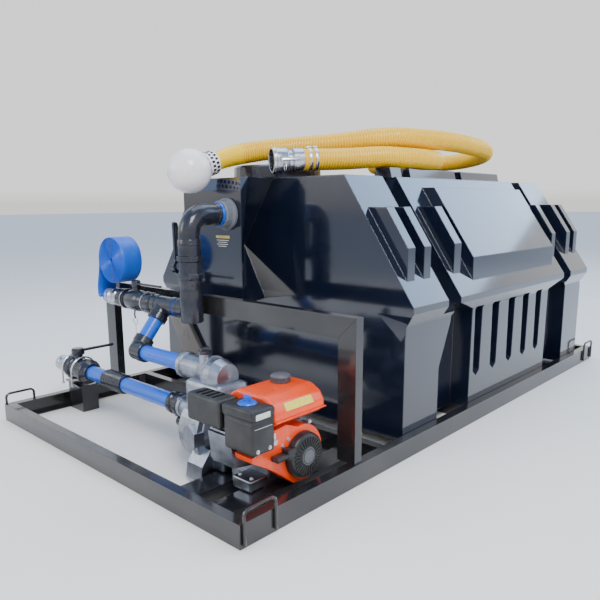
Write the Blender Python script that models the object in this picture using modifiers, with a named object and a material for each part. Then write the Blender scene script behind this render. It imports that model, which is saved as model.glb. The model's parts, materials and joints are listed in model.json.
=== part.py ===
"""Skid-mounted liquid waste tank with a petrol pump set, built as separate pieces.

Frame: X runs across the skid, +Y along it from the pump end to the far end, +Z up.
The origin is under the middle of the skid. Lengths are in metres.
"""

import math

import bmesh
import bpy
from mathutils import Matrix, Vector

GAP = 0.0003

# Skid, made of one size of steel channel with mitred corners.
SKID_WIDTH = 1.570
SKID_LENGTH = 2.890
CHANNEL_H = 0.076
CHANNEL_W = 0.038
STEEL_T = 0.005
RAIL_X = SKID_WIDTH / 2
END_Y = SKID_LENGTH / 2
FLANGE_TIP_X = RAIL_X - CHANNEL_W
BEARER_H = 0.046
BEARER_W = 0.095
BEARER_X = (0.4600, 0.6260)
PUMP_CROSS_Y = -0.738
TANK_BEARER_H = 0.050
TANK_BEARER_W = 0.100

# Goal post in front of the tank.
POST_X = 0.778
POST_FRONT_Y = -0.917
POST_TOP_Z = 0.583

# Lifting handles at the rails' ends.
HANDLE_D = 0.011
HANDLE_LENGTH = 0.125
HANDLE_TOP_Z = 0.117

# Tank: a prism with flat sloping shoulders.
TANK_FRONT = -0.5746
TANK_REAR = 1.280
TANK_FLOOR = 0.0503
TANK_WALL_X = 0.745
TANK_WALL_TOP = 0.494
LIP_X = 0.778
LIP_LOW = 0.547
LIP_HIGH = 0.572
TANK_TOP_X = 0.4476
TANK_TOP = 1.0585
TANK_T = 0.009
GROOVES = ((-0.3207, -0.2189), (0.9150, 1.0176))
GROOVE_DEPTH = 0.057
RECESSES = (
    ((-0.322, 0.03), (-0.055, 0.03), (-0.050, 0.500), (-0.225, 0.551), (-0.243, 0.467), (-0.322, 0.292)),
    ((0.786, 0.03), (1.050, 0.03), (1.042, 0.490), (0.922, 0.551), (0.790, 0.500)),
)
RECESS_DEPTH = 0.090
RIBS = ((-0.5305, -0.4803), (-0.4157, -0.3671), (-0.1824, -0.1262),
        (0.8656, 0.9120), (1.0784, 1.1301), (1.1924, 1.2411))
PANEL = (-0.058, 0.824)
BLOCKS = ((-0.240, -0.160), (-0.092, 0.311), (0.372, 0.782))
FLUTES = (0.008, 0.174, 0.345, 0.508, 0.668)
FLUTE_DEPTH = 0.040
TOWER_FRONT = -0.770
TOWER_RIGHT = 0.071
TOWER_LEFT = -0.3086

# Hatch.
HATCH = Vector((-0.073, -0.411, TANK_TOP))
HATCH_R = 0.200
HATCH_H = 0.056

# Pipework. Every line runs across the skid, except for the riser and the link.
PIPE_R = 0.031
SUCTION_PIPE_R = 0.033
PUMP_Y = -1.118
SUCTION_Z = 0.188
OUTLET_Z = 0.357
RISER_X = -0.012
RISER_Y = -0.974
MANIFOLD_Z = 0.528
RISER_TOP_Z = 0.907
RISER_R = 0.046
LINK_X = -0.198
SUCTION_VALVE_X = -0.711
DELIVERY_VALVE_X = -0.411

# Engine and pump, both turning about one axis that runs across the skid.
CRANK_Y = -1.0974
CRANK_Z = 0.154
CASING_R = 0.128

DELIVERY_END_X = -0.530
COUPLER_L = 0.112

# Layflat hose roll.
ROLL = Vector((-0.529, RISER_Y, 0.702))
ROLL_R = 0.107
ROLL_WIDTH = 0.100

# Suction hose, resting on the tank.
HOSE_R = 0.045
HOSE_STEP = 0.075
FLOAT_R = 0.092
FLOAT_CENTRE = Vector((-0.149, -0.867, 1.094))

COLOURS = {
    "black_steel": ((0.012, 0.012, 0.014), 0.25, 0.0),
    "tank_black": ((0.010, 0.011, 0.014), 0.18, 0.0),
    "pipe_blue": ((0.0, 0.19, 0.78), 0.35, 0.0),
    "fitting_black": ((0.015, 0.017, 0.024), 0.35, 0.0),
    "fitting_grey": ((0.16, 0.17, 0.19), 0.40, 0.0),
    "aluminium": ((0.58, 0.60, 0.64), 0.32, 1.0),
    "layflat_blue": ((0.0, 0.16, 0.72), 0.45, 0.0),
    "zinc": ((0.62, 0.64, 0.67), 0.28, 1.0),
    "engine_orange": ((0.85, 0.10, 0.01), 0.30, 0.0),
    "engine_black": ((0.02, 0.02, 0.022), 0.45, 0.0),
    "cap_grey": ((0.20, 0.20, 0.21), 0.45, 0.0),
    "steel": ((0.45, 0.46, 0.48), 0.30, 1.0),
    "knob_blue": ((0.0, 0.22, 0.75), 0.35, 0.0),
    "hose_yellow": ((0.95, 0.62, 0.0), 0.40, 0.0),
    "float_white": ((0.86, 0.84, 0.84), 0.30, 0.0),
}

for leftover in list(bpy.data.objects):
    bpy.data.objects.remove(leftover)

PARTS = bpy.data.collections.new("liquid_waste_skid")
CUTTERS = bpy.data.collections.new("cutters")
for collection in (PARTS, CUTTERS):
    bpy.context.scene.collection.children.link(collection)


def material(slot):
    """The plain material for a slot, made once."""
    if slot in bpy.data.materials:
        return bpy.data.materials[slot]
    colour, roughness, metallic = COLOURS[slot]
    made = bpy.data.materials.new(slot)
    made.use_nodes = True
    shader = made.node_tree.nodes["Principled BSDF"]
    shader.inputs["Base Color"].default_value = (*colour, 1.0)
    shader.inputs["Roughness"].default_value = roughness
    shader.inputs["Metallic"].default_value = metallic
    return made


def new_object(name, mesh, slot=None):
    """An object in the parts' collection, or in the cutters' if it has no slot."""
    obj = bpy.data.objects.new(name, mesh)
    if slot:
        PARTS.objects.link(obj)
        mesh.materials.append(material(slot))
        mesh.shade_smooth()
        mesh.set_sharp_from_angle(angle=math.radians(35))
    else:
        CUTTERS.objects.link(obj)
        obj.hide_render = True
        obj.display_type = "WIRE"
    return obj


def finish_mesh(name, bm, slot):
    """Turns a bmesh into an object whose faces point out."""
    bmesh.ops.remove_doubles(bm, verts=bm.verts, dist=1e-6)
    bmesh.ops.recalc_face_normals(bm, faces=bm.faces)
    if bm.calc_volume(signed=True) < 0:
        bmesh.ops.reverse_faces(bm, faces=bm.faces)
    mesh = bpy.data.meshes.new(name)
    bm.to_mesh(mesh)
    bm.free()
    return new_object(name, mesh, slot)


def baked(obj, slot):
    """The object again, with its modifiers or its curve turned into one plain mesh."""
    bpy.context.view_layer.update()
    graph = bpy.context.evaluated_depsgraph_get()
    mesh = bpy.data.meshes.new_from_object(obj.evaluated_get(graph))
    mesh.transform(obj.matrix_world)
    name = obj.name
    bpy.data.objects.remove(obj)
    bm = bmesh.new()
    bm.from_mesh(mesh)
    bpy.data.meshes.remove(mesh)
    return finish_mesh(name, bm, slot)


def box(name, low, high, slot=None, bevel=0.0):
    """A box between two corners, with its edges rounded if a bevel is given."""
    bm = bmesh.new()
    size = Vector(high) - Vector(low)
    place = Matrix.Translation((Vector(low) + Vector(high)) / 2)
    bmesh.ops.create_cube(bm, size=1.0, matrix=place @ Matrix.Diagonal((*size, 1.0)))
    if bevel:
        bmesh.ops.bevel(bm, geom=bm.edges, offset=bevel, segments=2, affect="EDGES", profile=0.5)
    return finish_mesh(name, bm, slot)


def rod(name, start, end, radius, slot=None, sides=24, end_radius=None):
    """A round bar or a cone between two points."""
    start, end = Vector(start), Vector(end)
    along = end - start
    place = Matrix.Translation((start + end) / 2) @ along.to_track_quat("Z", "Y").to_matrix().to_4x4()
    bm = bmesh.new()
    bmesh.ops.create_cone(
        bm, cap_ends=True, segments=sides, radius1=radius,
        radius2=radius if end_radius is None else end_radius, depth=along.length, matrix=place,
    )
    return finish_mesh(name, bm, slot)


def outline_prism(name, outline, low, high, axis, slot=None):
    """A flat outline given in the plane across an axis, extruded from low to high along it."""
    curve = bpy.data.curves.new(name, "CURVE")
    curve.dimensions = "2D"
    curve.fill_mode = "BOTH"
    curve.extrude = (high - low) / 2
    spline = curve.splines.new("POLY")
    spline.points.add(len(outline) - 1)
    for point, (a, b) in zip(spline.points, outline):
        point.co = (a, b, 0.0, 1.0)
    spline.use_cyclic_u = True
    obj = bpy.data.objects.new(name, curve)
    CUTTERS.objects.link(obj)
    middle = (low + high) / 2
    across, up, along = {
        "X": ((0, 1, 0), (0, 0, 1), (1, 0, 0)),
        "Y": ((1, 0, 0), (0, 0, 1), (0, 1, 0)),
        "Z": ((1, 0, 0), (0, 1, 0), (0, 0, 1)),
    }[axis]
    place = Matrix((across, up, along)).transposed().to_4x4()
    place.translation = Vector(along) * middle
    obj.matrix_world = place
    return baked(obj, slot)


def turned(name, profile, start, direction, slot=None, steps=24):
    """A body turned about an axis: profile points are (radius, distance along the axis).

    A profile that starts and ends on the axis makes a solid, a closed one makes a ring.
    """
    ring = profile[0][0] > 0 and profile[-1][0] > 0
    mesh = bpy.data.meshes.new(name)
    count = len(profile)
    edges = [(i, i + 1) for i in range(count - 1)] + ([(count - 1, 0)] if ring else [])
    mesh.from_pydata([(r, 0, z) for r, z in profile], edges, [])
    obj = bpy.data.objects.new(name, mesh)
    CUTTERS.objects.link(obj)
    screw = obj.modifiers.new("turn", "SCREW")
    screw.steps = steps
    screw.render_steps = steps
    screw.use_merge_vertices = True
    screw.merge_threshold = 0.00001
    turn = Vector(direction).to_track_quat("Z", "Y").to_matrix().to_4x4()
    obj.matrix_world = Matrix.Translation(Vector(start)) @ turn
    return baked(obj, slot)


def tube(name, points, radius, slot=None, resolution=2):
    """A round bar or hose through a list of points."""
    curve = bpy.data.curves.new(name, "CURVE")
    curve.dimensions = "3D"
    curve.bevel_depth = radius
    curve.bevel_resolution = resolution
    curve.use_fill_caps = True
    spline = curve.splines.new("POLY")
    spline.points.add(len(points) - 1)
    for target, point in zip(spline.points, points):
        target.co = (*point, 1.0)
    obj = bpy.data.objects.new(name, curve)
    CUTTERS.objects.link(obj)
    return baked(obj, slot)


def combined(base, slot, join=(), cut=()):
    """The base with other bodies joined to it and cut from it, as one plain mesh."""
    for operation, others in (("UNION", join), ("DIFFERENCE", cut)):
        for other in others:
            step = base.modifiers.new(operation.lower(), "BOOLEAN")
            step.operation = operation
            step.solver = "EXACT"
            step.object = other
    made = baked(base, slot)
    for other in (*join, *cut):
        bpy.data.objects.remove(other)
    return made


def pivot(obj, point):
    """Puts a moving piece's origin on its joint's axis."""
    point = Vector(point)
    obj.data.transform(Matrix.Translation(-point))
    obj.location = point
    return obj


def arc(centre, radius, start_deg, end_deg, count):
    """Points on an arc in a plane, as pairs."""
    found = []
    for i in range(count):
        angle = math.radians(start_deg + (end_deg - start_deg) * i / (count - 1))
        found.append((centre[0] + radius * math.cos(angle), centre[1] + radius * math.sin(angle)))
    return found


# ---------------------------------------------------------------- skid


def channel(name, corner, along, across, up, length, mitre, height=CHANNEL_H, width=CHANNEL_W):
    """A steel channel. Its web is at the corner, its flanges point across, and its height is up.

    mitre gives the two ends' cuts: 0 is square, "across" and "up" are 45 degrees that way.
    """
    t = STEEL_T
    outline = [(0, 0), (width, 0), (width, t), (t, t), (t, height - t), (width, height - t),
               (width, height), (0, height)]
    made = outline_prism(name, outline, 0.0, length, "X", "black_steel")
    for vertex in made.data.vertices:
        run, a, b = vertex.co
        at_end = run > length / 2
        shift = {"across": a, "up": b, 0: 0.0}[mitre[1] if at_end else mitre[0]]
        vertex.co.x = run - shift if at_end else run + shift
    made.data.transform(Matrix((along, across, up)).transposed().to_4x4())
    made.data.transform(Matrix.Translation(Vector(corner)))
    return outward(made)


def outward(obj):
    """Turns the faces of an object's mesh outward again after a mirroring placement."""
    bm = bmesh.new()
    bm.from_mesh(obj.data)
    bmesh.ops.recalc_face_normals(bm, faces=bm.faces)
    bm.to_mesh(obj.data)
    bm.free()
    return obj


def skid():
    """The four sides, the cross members and the pump's bearers."""
    corners = ("across", "across")
    rail_length = SKID_LENGTH - 2 * GAP * 1.5
    for side, sign in (("left", -1), ("right", 1)):
        start = (sign * RAIL_X, -END_Y + 1.5 * GAP, 0)
        channel(f"rail_{side}", start, (0, 1, 0), (-sign, 0, 0), (0, 0, 1), rail_length, corners)
    for end, sign in (("front", -1), ("rear", 1)):
        start = (-RAIL_X, sign * END_Y, 0)
        channel(f"bar_{end}", start, (1, 0, 0), (0, -sign, 0), (0, 0, 1), SKID_WIDTH, corners)
    inside = FLANGE_TIP_X - GAP
    channel("cross_member_pump", (-inside, PUMP_CROSS_Y, 0), (1, 0, 0), (0, 1, 0), (0, 0, 1),
            2 * inside, (0, 0))
    for name, y in (("cross_member_mid", 0.0), ("cross_member_rear", 0.900)):
        channel(name, (-inside, y + TANK_BEARER_W / 2, 0), (1, 0, 0), (0, 0, 1), (0, -1, 0),
                2 * inside, (0, 0), TANK_BEARER_W, TANK_BEARER_H)
    bearer_start = -END_Y + CHANNEL_W + GAP
    bearer_length = PUMP_CROSS_Y - GAP - bearer_start
    for name, x in zip(("bearer_left", "bearer_right"), BEARER_X):
        corner = (x - BEARER_W / 2, bearer_start, BEARER_H)
        channel(name, corner, (0, 1, 0), (0, 0, -1), (1, 0, 0), bearer_length, (0, 0),
                BEARER_W, BEARER_H)


def goal_post():
    """Two posts on the rails and a beam across their tops."""
    foot = CHANNEL_H + GAP
    for side, sign in (("left", -1), ("right", 1)):
        channel(f"post_{side}", (sign * POST_X, POST_FRONT_Y, foot), (0, 0, 1), (0, 1, 0),
                (-sign, 0, 0), POST_TOP_Z - foot - 1.5 * GAP, (0, "up"))
    channel("post_beam", (-POST_X, POST_FRONT_Y, POST_TOP_Z), (1, 0, 0), (0, 1, 0), (0, 0, -1),
            2 * POST_X, ("up", "up"))


def handles():
    """Four bent bars, welded to the outsides of the rails at their ends."""
    r = HANDLE_D / 2
    bend = 0.018
    low = 0.012
    for side, sign in (("left", -1), ("right", 1)):
        x = sign * (RAIL_X + r + GAP)
        for end, toward in (("front", -1), ("rear", 1)):
            outer = toward * (END_Y - 0.012)
            inner = toward * (END_Y - 0.012 - HANDLE_LENGTH)
            first, last = min(outer, inner), max(outer, inner)
            top = HANDLE_TOP_Z - bend
            path = [(x, first, low)]
            path += [(x, y, z) for y, z in arc((first + bend, top), bend, 180, 90, 5)]
            path += [(x, y, z) for y, z in arc((last - bend, top), bend, 90, 0, 5)]
            path += [(x, last, low)]
            tube(f"handle_{end}_{side}", path, r, "black_steel", 1)


# ---------------------------------------------------------------- tank


def slope_x(z):
    """The shoulder's half width at a height."""
    return LIP_X - (z - LIP_HIGH) * (LIP_X - TANK_TOP_X) / (TANK_TOP - LIP_HIGH)


def tank_section(inset=0.0, wall_inset=None):
    """Half of the tank's cross-section, closed through its middle plane by its mirror image."""
    wall = TANK_WALL_X - (inset if wall_inset is None else wall_inset)
    half = [
        (wall, TANK_FLOOR + inset),
        (wall, TANK_WALL_TOP + 1.5 * inset),
        (LIP_X - inset, LIP_LOW + 0.4 * inset),
        (LIP_X - inset, LIP_HIGH - 0.4 * inset),
        (TANK_TOP_X - 0.6 * inset, TANK_TOP - inset),
    ]
    return half + [(-x, z) for x, z in reversed(half)]


def mirrored(pairs):
    """The same outline on the other side of the tank."""
    return [(-x, z) for x, z in pairs]


def shoulder_pieces():
    """The wedge ribs and the big raised panels on both shoulders, and the blocks on the roof."""
    rib = [(0.718, 0.652), (0.718, 0.784), (0.617, 0.934), (0.528, 0.934), (0.500, 0.900), (0.620, 0.670)]
    panel = [(0.743, 0.614), (0.741, 0.722), (0.540, 1.0145), (0.470, 1.0145), (0.440, 0.990), (0.620, 0.640)]
    made = []
    for number, (shape, start, end) in enumerate([(rib, *ends) for ends in RIBS] + [(panel, *PANEL)]):
        for side, outline in (("r", shape), ("l", mirrored(shape))):
            made.append(outline_prism(f"shoulder_{number}_{side}", outline, start, end, "Y"))
    block = [(0.348, TANK_TOP - 0.004), (0.440, TANK_TOP - 0.004), (0.428, 1.0985), (0.354, 1.0985)]
    for number, (start, end) in enumerate(BLOCKS):
        for side, outline in (("r", block), ("l", mirrored(block))):
            made.append(outline_prism(f"block_{number}_{side}", outline, start, end, "Y"))
    return made


def tower():
    """The chamber that stands out from the front of the tank, with a waisted right side."""
    front, back = TOWER_FRONT, TANK_FRONT + 0.004
    low, waist, shoulder, top = 0.533, 0.768, 1.004, TANK_TOP - 0.0008
    bm = bmesh.new()
    rows = []
    for y, right, chamfer in (
        (front, (TOWER_RIGHT, TOWER_RIGHT - 0.003, TOWER_RIGHT), True),
        (front + 0.045, (0.055, 0.034, 0.068), False),
        (back, (0.003, -0.134, 0.056), False),
    ):
        high = shoulder if chamfer else top
        ring = [(right[0], low), (right[1], waist), (right[2], high), (TOWER_LEFT, high),
                (TOWER_LEFT, low)]
        rows.append([bm.verts.new((x, y, z)) for x, z in ring])
    for first, second in zip(rows, rows[1:]):
        for i in range(5):
            j = (i + 1) % 5
            bm.faces.new((first[i], first[j], second[j], second[i]))
    bm.faces.new(rows[0])
    bm.faces.new(rows[-1])
    return finish_mesh("tower", bm, None)


def tank_cutters():
    """The grooves over the shoulders, the recesses and the flutes in the walls, and the cavity."""
    made = []
    lean = Vector((TANK_TOP - LIP_HIGH, LIP_X - TANK_TOP_X)).normalized()
    for number, (start, end) in enumerate(GROOVES):
        low_z, high_z = LIP_LOW, TANK_TOP + 0.03
        inner = [(slope_x(z) - lean.x * GROOVE_DEPTH, z - lean.y * GROOVE_DEPTH)
                 for z in (high_z, low_z)]
        groove = [inner[1], (0.90, inner[1][1]), (0.90, 1.20), (inner[0][0], 1.20), inner[0]]
        for side, outline in (("r", groove), ("l", mirrored(groove))):
            made.append(outline_prism(f"groove_{number}_{side}", outline, start, end, "Y"))
    for number, shape in enumerate(RECESSES):
        for side, sign in (("r", 1), ("l", -1)):
            near, far = sorted((sign * (TANK_WALL_X - RECESS_DEPTH), sign * 0.90))
            made.append(outline_prism(f"recess_{number}_{side}", shape, near, far, "X"))
    for number, y in enumerate(FLUTES):
        flute = [(y - 0.036, 0.506), (y - 0.030, 0.212), (y, 0.190), (y + 0.030, 0.212), (y + 0.036, 0.506)]
        for side, sign in (("r", 1), ("l", -1)):
            near, far = sorted((sign * (TANK_WALL_X - FLUTE_DEPTH), sign * 0.90))
            made.append(outline_prism(f"flute_{number}_{side}", flute, near, far, "X"))
    return made


def cavity():
    """The hollow: a core that clears every groove, widened between the grooves."""
    t = TANK_T
    wall = RECESS_DEPTH + t
    core_half = [(TANK_WALL_X - wall, TANK_FLOOR + t), (TANK_WALL_X - wall, 0.540),
                 (TANK_TOP_X - 0.084, TANK_TOP - t - 0.003)]
    core = core_half + [(-x, z) for x, z in reversed(core_half)]
    made = [outline_prism("cavity_core", core, TANK_FRONT + t, TANK_REAR - t, "Y")]
    rooms = (
        (TANK_FRONT + t + 0.001, RECESSES[0][0][0] - t, t),
        (RECESSES[0][1][0] + t, RECESSES[1][0][0] - t, FLUTE_DEPTH + t),
        (RECESSES[1][1][0] + t, TANK_REAR - t - 0.001, t),
    )
    for number, (start, end, wall_inset) in enumerate(rooms):
        section = tank_section(t + 0.0004 * (number + 1), wall_inset)
        made.append(outline_prism(f"cavity_room_{number}", section, start, end, "Y"))
    tower_room = box("cavity_tower", (TOWER_LEFT + 2 * t, TOWER_FRONT + t, 0.545),
                     (-0.145, TANK_FRONT + 2 * t, 0.990))
    made.append(tower_room)
    mouth = rod("cavity_mouth", HATCH - Vector((0, 0, 0.05)), HATCH + Vector((0, 0, 0.05)),
                HATCH_R - 0.032, None, 32)
    made.append(mouth)
    return made


def corner_cutters():
    """The small undercut faces below the lip at the four corners."""
    made = []
    for end, y, inward in (("front", TANK_FRONT, 1), ("rear", TANK_REAR, -1)):
        for side, sign in (("r", 1), ("l", -1)):
            points = ((0.520, -0.004, 0.556), (0.790, -0.004, 0.556), (0.690, -0.004, 0.405), (0.790, 0.007, 0.500))
            bm = bmesh.new()
            verts = [bm.verts.new((sign * px, y + inward * py, pz)) for px, py, pz in points]
            for a, b, c in ((0, 1, 2), (0, 1, 3), (0, 2, 3), (1, 2, 3)):
                bm.faces.new((verts[a], verts[b], verts[c]))
            made.append(finish_mesh(f"corner_{end}_{side}", bm, None))
    return made


def tank():
    """The moulded tank, hollow and open at its hatch."""
    body = outline_prism("tank_shell", tank_section(), TANK_FRONT, TANK_REAR, "Y")
    first = combined(body, "tank_black", cut=[*corner_cutters(), *tank_cutters()])
    collar = rod("collar", HATCH - Vector((0, 0, 0.004)), HATCH + Vector((0, 0, 0.046)),
                 HATCH_R - 0.022, None, 32)
    second = combined(first, "tank_black", join=[tower(), *shoulder_pieces(), collar])
    return combined(second, "tank_black", cut=cavity())


def hatch():
    """The lid that screws over the tank's collar."""
    base = HATCH + Vector((0, 0, GAP))
    r = HATCH_R
    lid = [(0.0, HATCH_H), (r - 0.012, HATCH_H), (r - 0.002, HATCH_H - 0.008), (r, 0.002),
           (r - 0.019, 0.002), (r - 0.019, 0.0475), (0.0, 0.0475)]
    pivot(turned("hatch_lid", lid, base, (0, 0, 1), "fitting_black", 32), HATCH)


# ---------------------------------------------------------------- riser and manifold


def riser():
    """The delivery riser: bulkhead, elbow, valve with its lever, and the foot elbow."""
    y_face = TOWER_FRONT - GAP
    x, y = RISER_X, RISER_Y
    bulkhead = [(0.0, 0.0), (0.066, 0.0), (0.066, 0.014), (0.058, 0.018), (0.054, 0.050), (0.0, 0.050)]
    turned("bulkhead_fitting", bulkhead, (x, y_face, RISER_TOP_Z), (0, -1, 0), "fitting_grey", 24)

    bend_r = 0.075
    r = RISER_R
    bend = [(x, y + bend_r - bend_r * math.cos(math.radians(a)),
             RISER_TOP_Z - bend_r + bend_r * math.sin(math.radians(a))) for a in range(0, 91, 15)]
    elbow_end = y_face - 0.050 - GAP
    path = [(x, y, 0.748)] + bend + [(x, elbow_end, RISER_TOP_Z)]
    elbow = tube("riser_elbow", path, r - 0.003, None, 4)
    sleeve_low = rod("sleeve_low", (x, y, 0.7483), (x, y, 0.812), r, None, 24)
    sleeve_high = rod("sleeve_high", (x, elbow_end - 0.026, RISER_TOP_Z), (x, elbow_end - 0.0002, RISER_TOP_Z),
                      r + 0.001, None, 24)
    combined(elbow, "fitting_black", join=[sleeve_low, sleeve_high])

    low, high = 0.655, 0.7477
    valve = [(0.0, high), (0.050, high), (0.050, high - 0.020), (0.047, high - 0.024),
             (0.047, low + 0.024), (0.050, low + 0.020), (0.050, low), (0.0, low)]
    body = turned("riser_valve", valve, (x, y, 0), (0, 0, 1), None, 24)
    stem = rod("riser_stem", (x - 0.020, y, 0.701), (x - 0.070, y, 0.701), 0.021, None, 20)
    combined(body, "fitting_black", join=[stem])
    hub_x = x - 0.070 - GAP
    hub = rod("riser_valve_lever", (hub_x, y, 0.701), (hub_x - 0.030, y, 0.701), 0.030, None, 24)
    blade = outline_prism("blade", [(y - 0.014, 0.701), (y + 0.014, 0.701), (y + 0.010, 0.872),
                                    (y - 0.014, 0.880)], hub_x - 0.024, hub_x - 0.010, "X")
    pivot(combined(hub, "fitting_black", join=[blade]), (hub_x, y, 0.701))

    foot = rod("riser_foot", (x, y, 0.478), (x, y, low - GAP), 0.047, None, 24)
    arm = rod("arm", (x, y, MANIFOLD_Z), (x - 0.090, y, MANIFOLD_Z), 0.040, None, 24)
    combined(foot, "fitting_black", join=[arm])


def valve_lever(name, x, y, z, radius, reach_x, reach_y, thickness):
    """A hub on a vertical stem with a flat arm reaching sideways."""
    hub = rod(name, (x, y, z), (x, y, z + 0.030), radius, None, 20)
    length = math.hypot(reach_x, reach_y)
    ux, uy = reach_x / length, reach_y / length
    wide, thin = 0.013, 0.009
    blade = [(x + uy * wide, y - ux * wide), (x + reach_x + uy * thin, y + reach_y - ux * thin),
             (x + reach_x - uy * thin, y + reach_y + ux * thin), (x - uy * wide, y + ux * wide)]
    arm = outline_prism("arm", blade, z + 0.012, z + 0.012 + thickness, "Z")
    return pivot(combined(hub, "fitting_black", join=[arm]), (x, y, z))


def delivery_line():
    """From the riser's foot to the hose outlet, and the link down to the pump's outlet."""
    y, z = RISER_Y, MANIFOLD_Z
    tee_right = RISER_X - 0.090 - GAP
    tee_left = -0.262
    run = rod("manifold_tee", (tee_right, y, z), (tee_left, y, z), 0.040, None, 24)
    link_low = Vector((LINK_X, PUMP_Y, OUTLET_Z))
    link_high = Vector((LINK_X, y, z))
    down = (link_low - link_high).normalized()
    branch = rod("branch", link_high, link_high + down * 0.075, 0.039, None, 24)
    combined(run, "fitting_black", join=[branch])
    low_end = link_low - down * 0.062
    rod("link_pipe", link_high + down * (0.075 + GAP), low_end - down * GAP, PIPE_R, "pipe_blue")

    elbow = rod("outlet_elbow", low_end, link_low + down * 0.010, 0.039, None, 24)
    leg = rod("leg", link_low - Vector((0.022, 0, 0)), link_low + Vector((0.062, 0, 0)), 0.039, None, 24)
    knee = turned("knee", [(0.0, 0.0392)] + [(0.0392 * math.sin(math.radians(a)), 0.0392 * math.cos(math.radians(a)))
                  for a in range(20, 180, 20)] + [(0.0, -0.0392)], link_low, (1, 0, 0), None, 24)
    combined(elbow, "fitting_black", join=[leg, knee])
    pipe_start = LINK_X + 0.062 + GAP
    rod("outlet_pipe", (pipe_start, PUMP_Y, OUTLET_Z), (0.123, PUMP_Y, OUTLET_Z), PIPE_R, "pipe_blue")

    right = tee_left - GAP
    left = DELIVERY_END_X
    profile = [(0.0, 0.0), (0.041, 0.0), (0.045, 0.006), (0.045, 0.050), (0.037, 0.064), (0.037, 0.084),
               (0.046, 0.104), (0.048, 0.150), (0.044, 0.190), (0.037, 0.206), (0.037, 0.216),
               (0.043, 0.224), (0.043, right - left), (0.0, right - left)]
    body = turned("delivery_valve", profile, (right, y, z), (-1, 0, 0), None, 24)
    stem = rod("delivery_stem", (DELIVERY_VALVE_X, y, z + 0.020), (DELIVERY_VALVE_X, y, z + 0.060),
               0.016, None, 16)
    combined(body, "fitting_black", join=[stem])
    valve_lever("delivery_valve_lever", DELIVERY_VALVE_X, y, z + 0.060 + GAP, 0.020, 0.190, 0.0, 0.007)

    coupler_right = left - GAP
    coupler = [(0.0, 0.0), (0.034, 0.0), (0.034, 0.012), (0.040, 0.016), (0.040, 0.072),
               (0.033, 0.076), (0.028, COUPLER_L), (0.0, COUPLER_L)]
    turned("delivery_coupler", coupler, (coupler_right, y, z), (-1, 0, 0), "aluminium", 24)
    pin_x = coupler_right - 0.018
    centre = Vector((pin_x, y, z))
    # The two arms stand half way round from front and back, clear of the beam and of the roll.
    turn = Matrix.Translation(centre) @ Matrix.Rotation(math.radians(-45), 4, "X") @ Matrix.Translation(-centre)
    for side, sign in (("front", -1), ("back", 1)):
        face = y + sign * (0.040 + GAP + 0.001)
        outer = face + sign * 0.010
        low_y, high_y = min(face, outer), max(face, outer)
        arm = [(pin_x, z - 0.009), (pin_x, z + 0.009), (pin_x - 0.058, z + 0.007), (pin_x - 0.058, z - 0.007)]
        piece = outline_prism(f"cam_arm_{side}", arm, low_y, high_y, "Y", "aluminium")
        piece.data.transform(turn)
        pivot(piece, turn @ Vector((pin_x, outer, z)))


def layflat_roll():
    """The rolled delivery hose and the tail that drops from it to the coupler."""
    left_tail = ROLL.x - ROLL_R
    coupler_end = DELIVERY_END_X - GAP - COUPLER_L - GAP
    outline = arc((ROLL.x, ROLL.z), ROLL_R, 175, -160, 44)
    tail = [(-0.618, 0.625), (-0.626, 0.572), (coupler_end, MANIFOLD_Z + 0.030), (coupler_end, MANIFOLD_Z - 0.020),
            (-0.652, MANIFOLD_Z - 0.018), (-0.668, MANIFOLD_Z + 0.004), (-0.664, 0.570), (-0.646, 0.630)]
    low, high = ROLL.y - ROLL_WIDTH / 2, ROLL.y + ROLL_WIDTH / 2
    outline_prism("layflat_roll", outline + tail, low, high, "Y", "layflat_blue")


# ---------------------------------------------------------------- suction line


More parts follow.
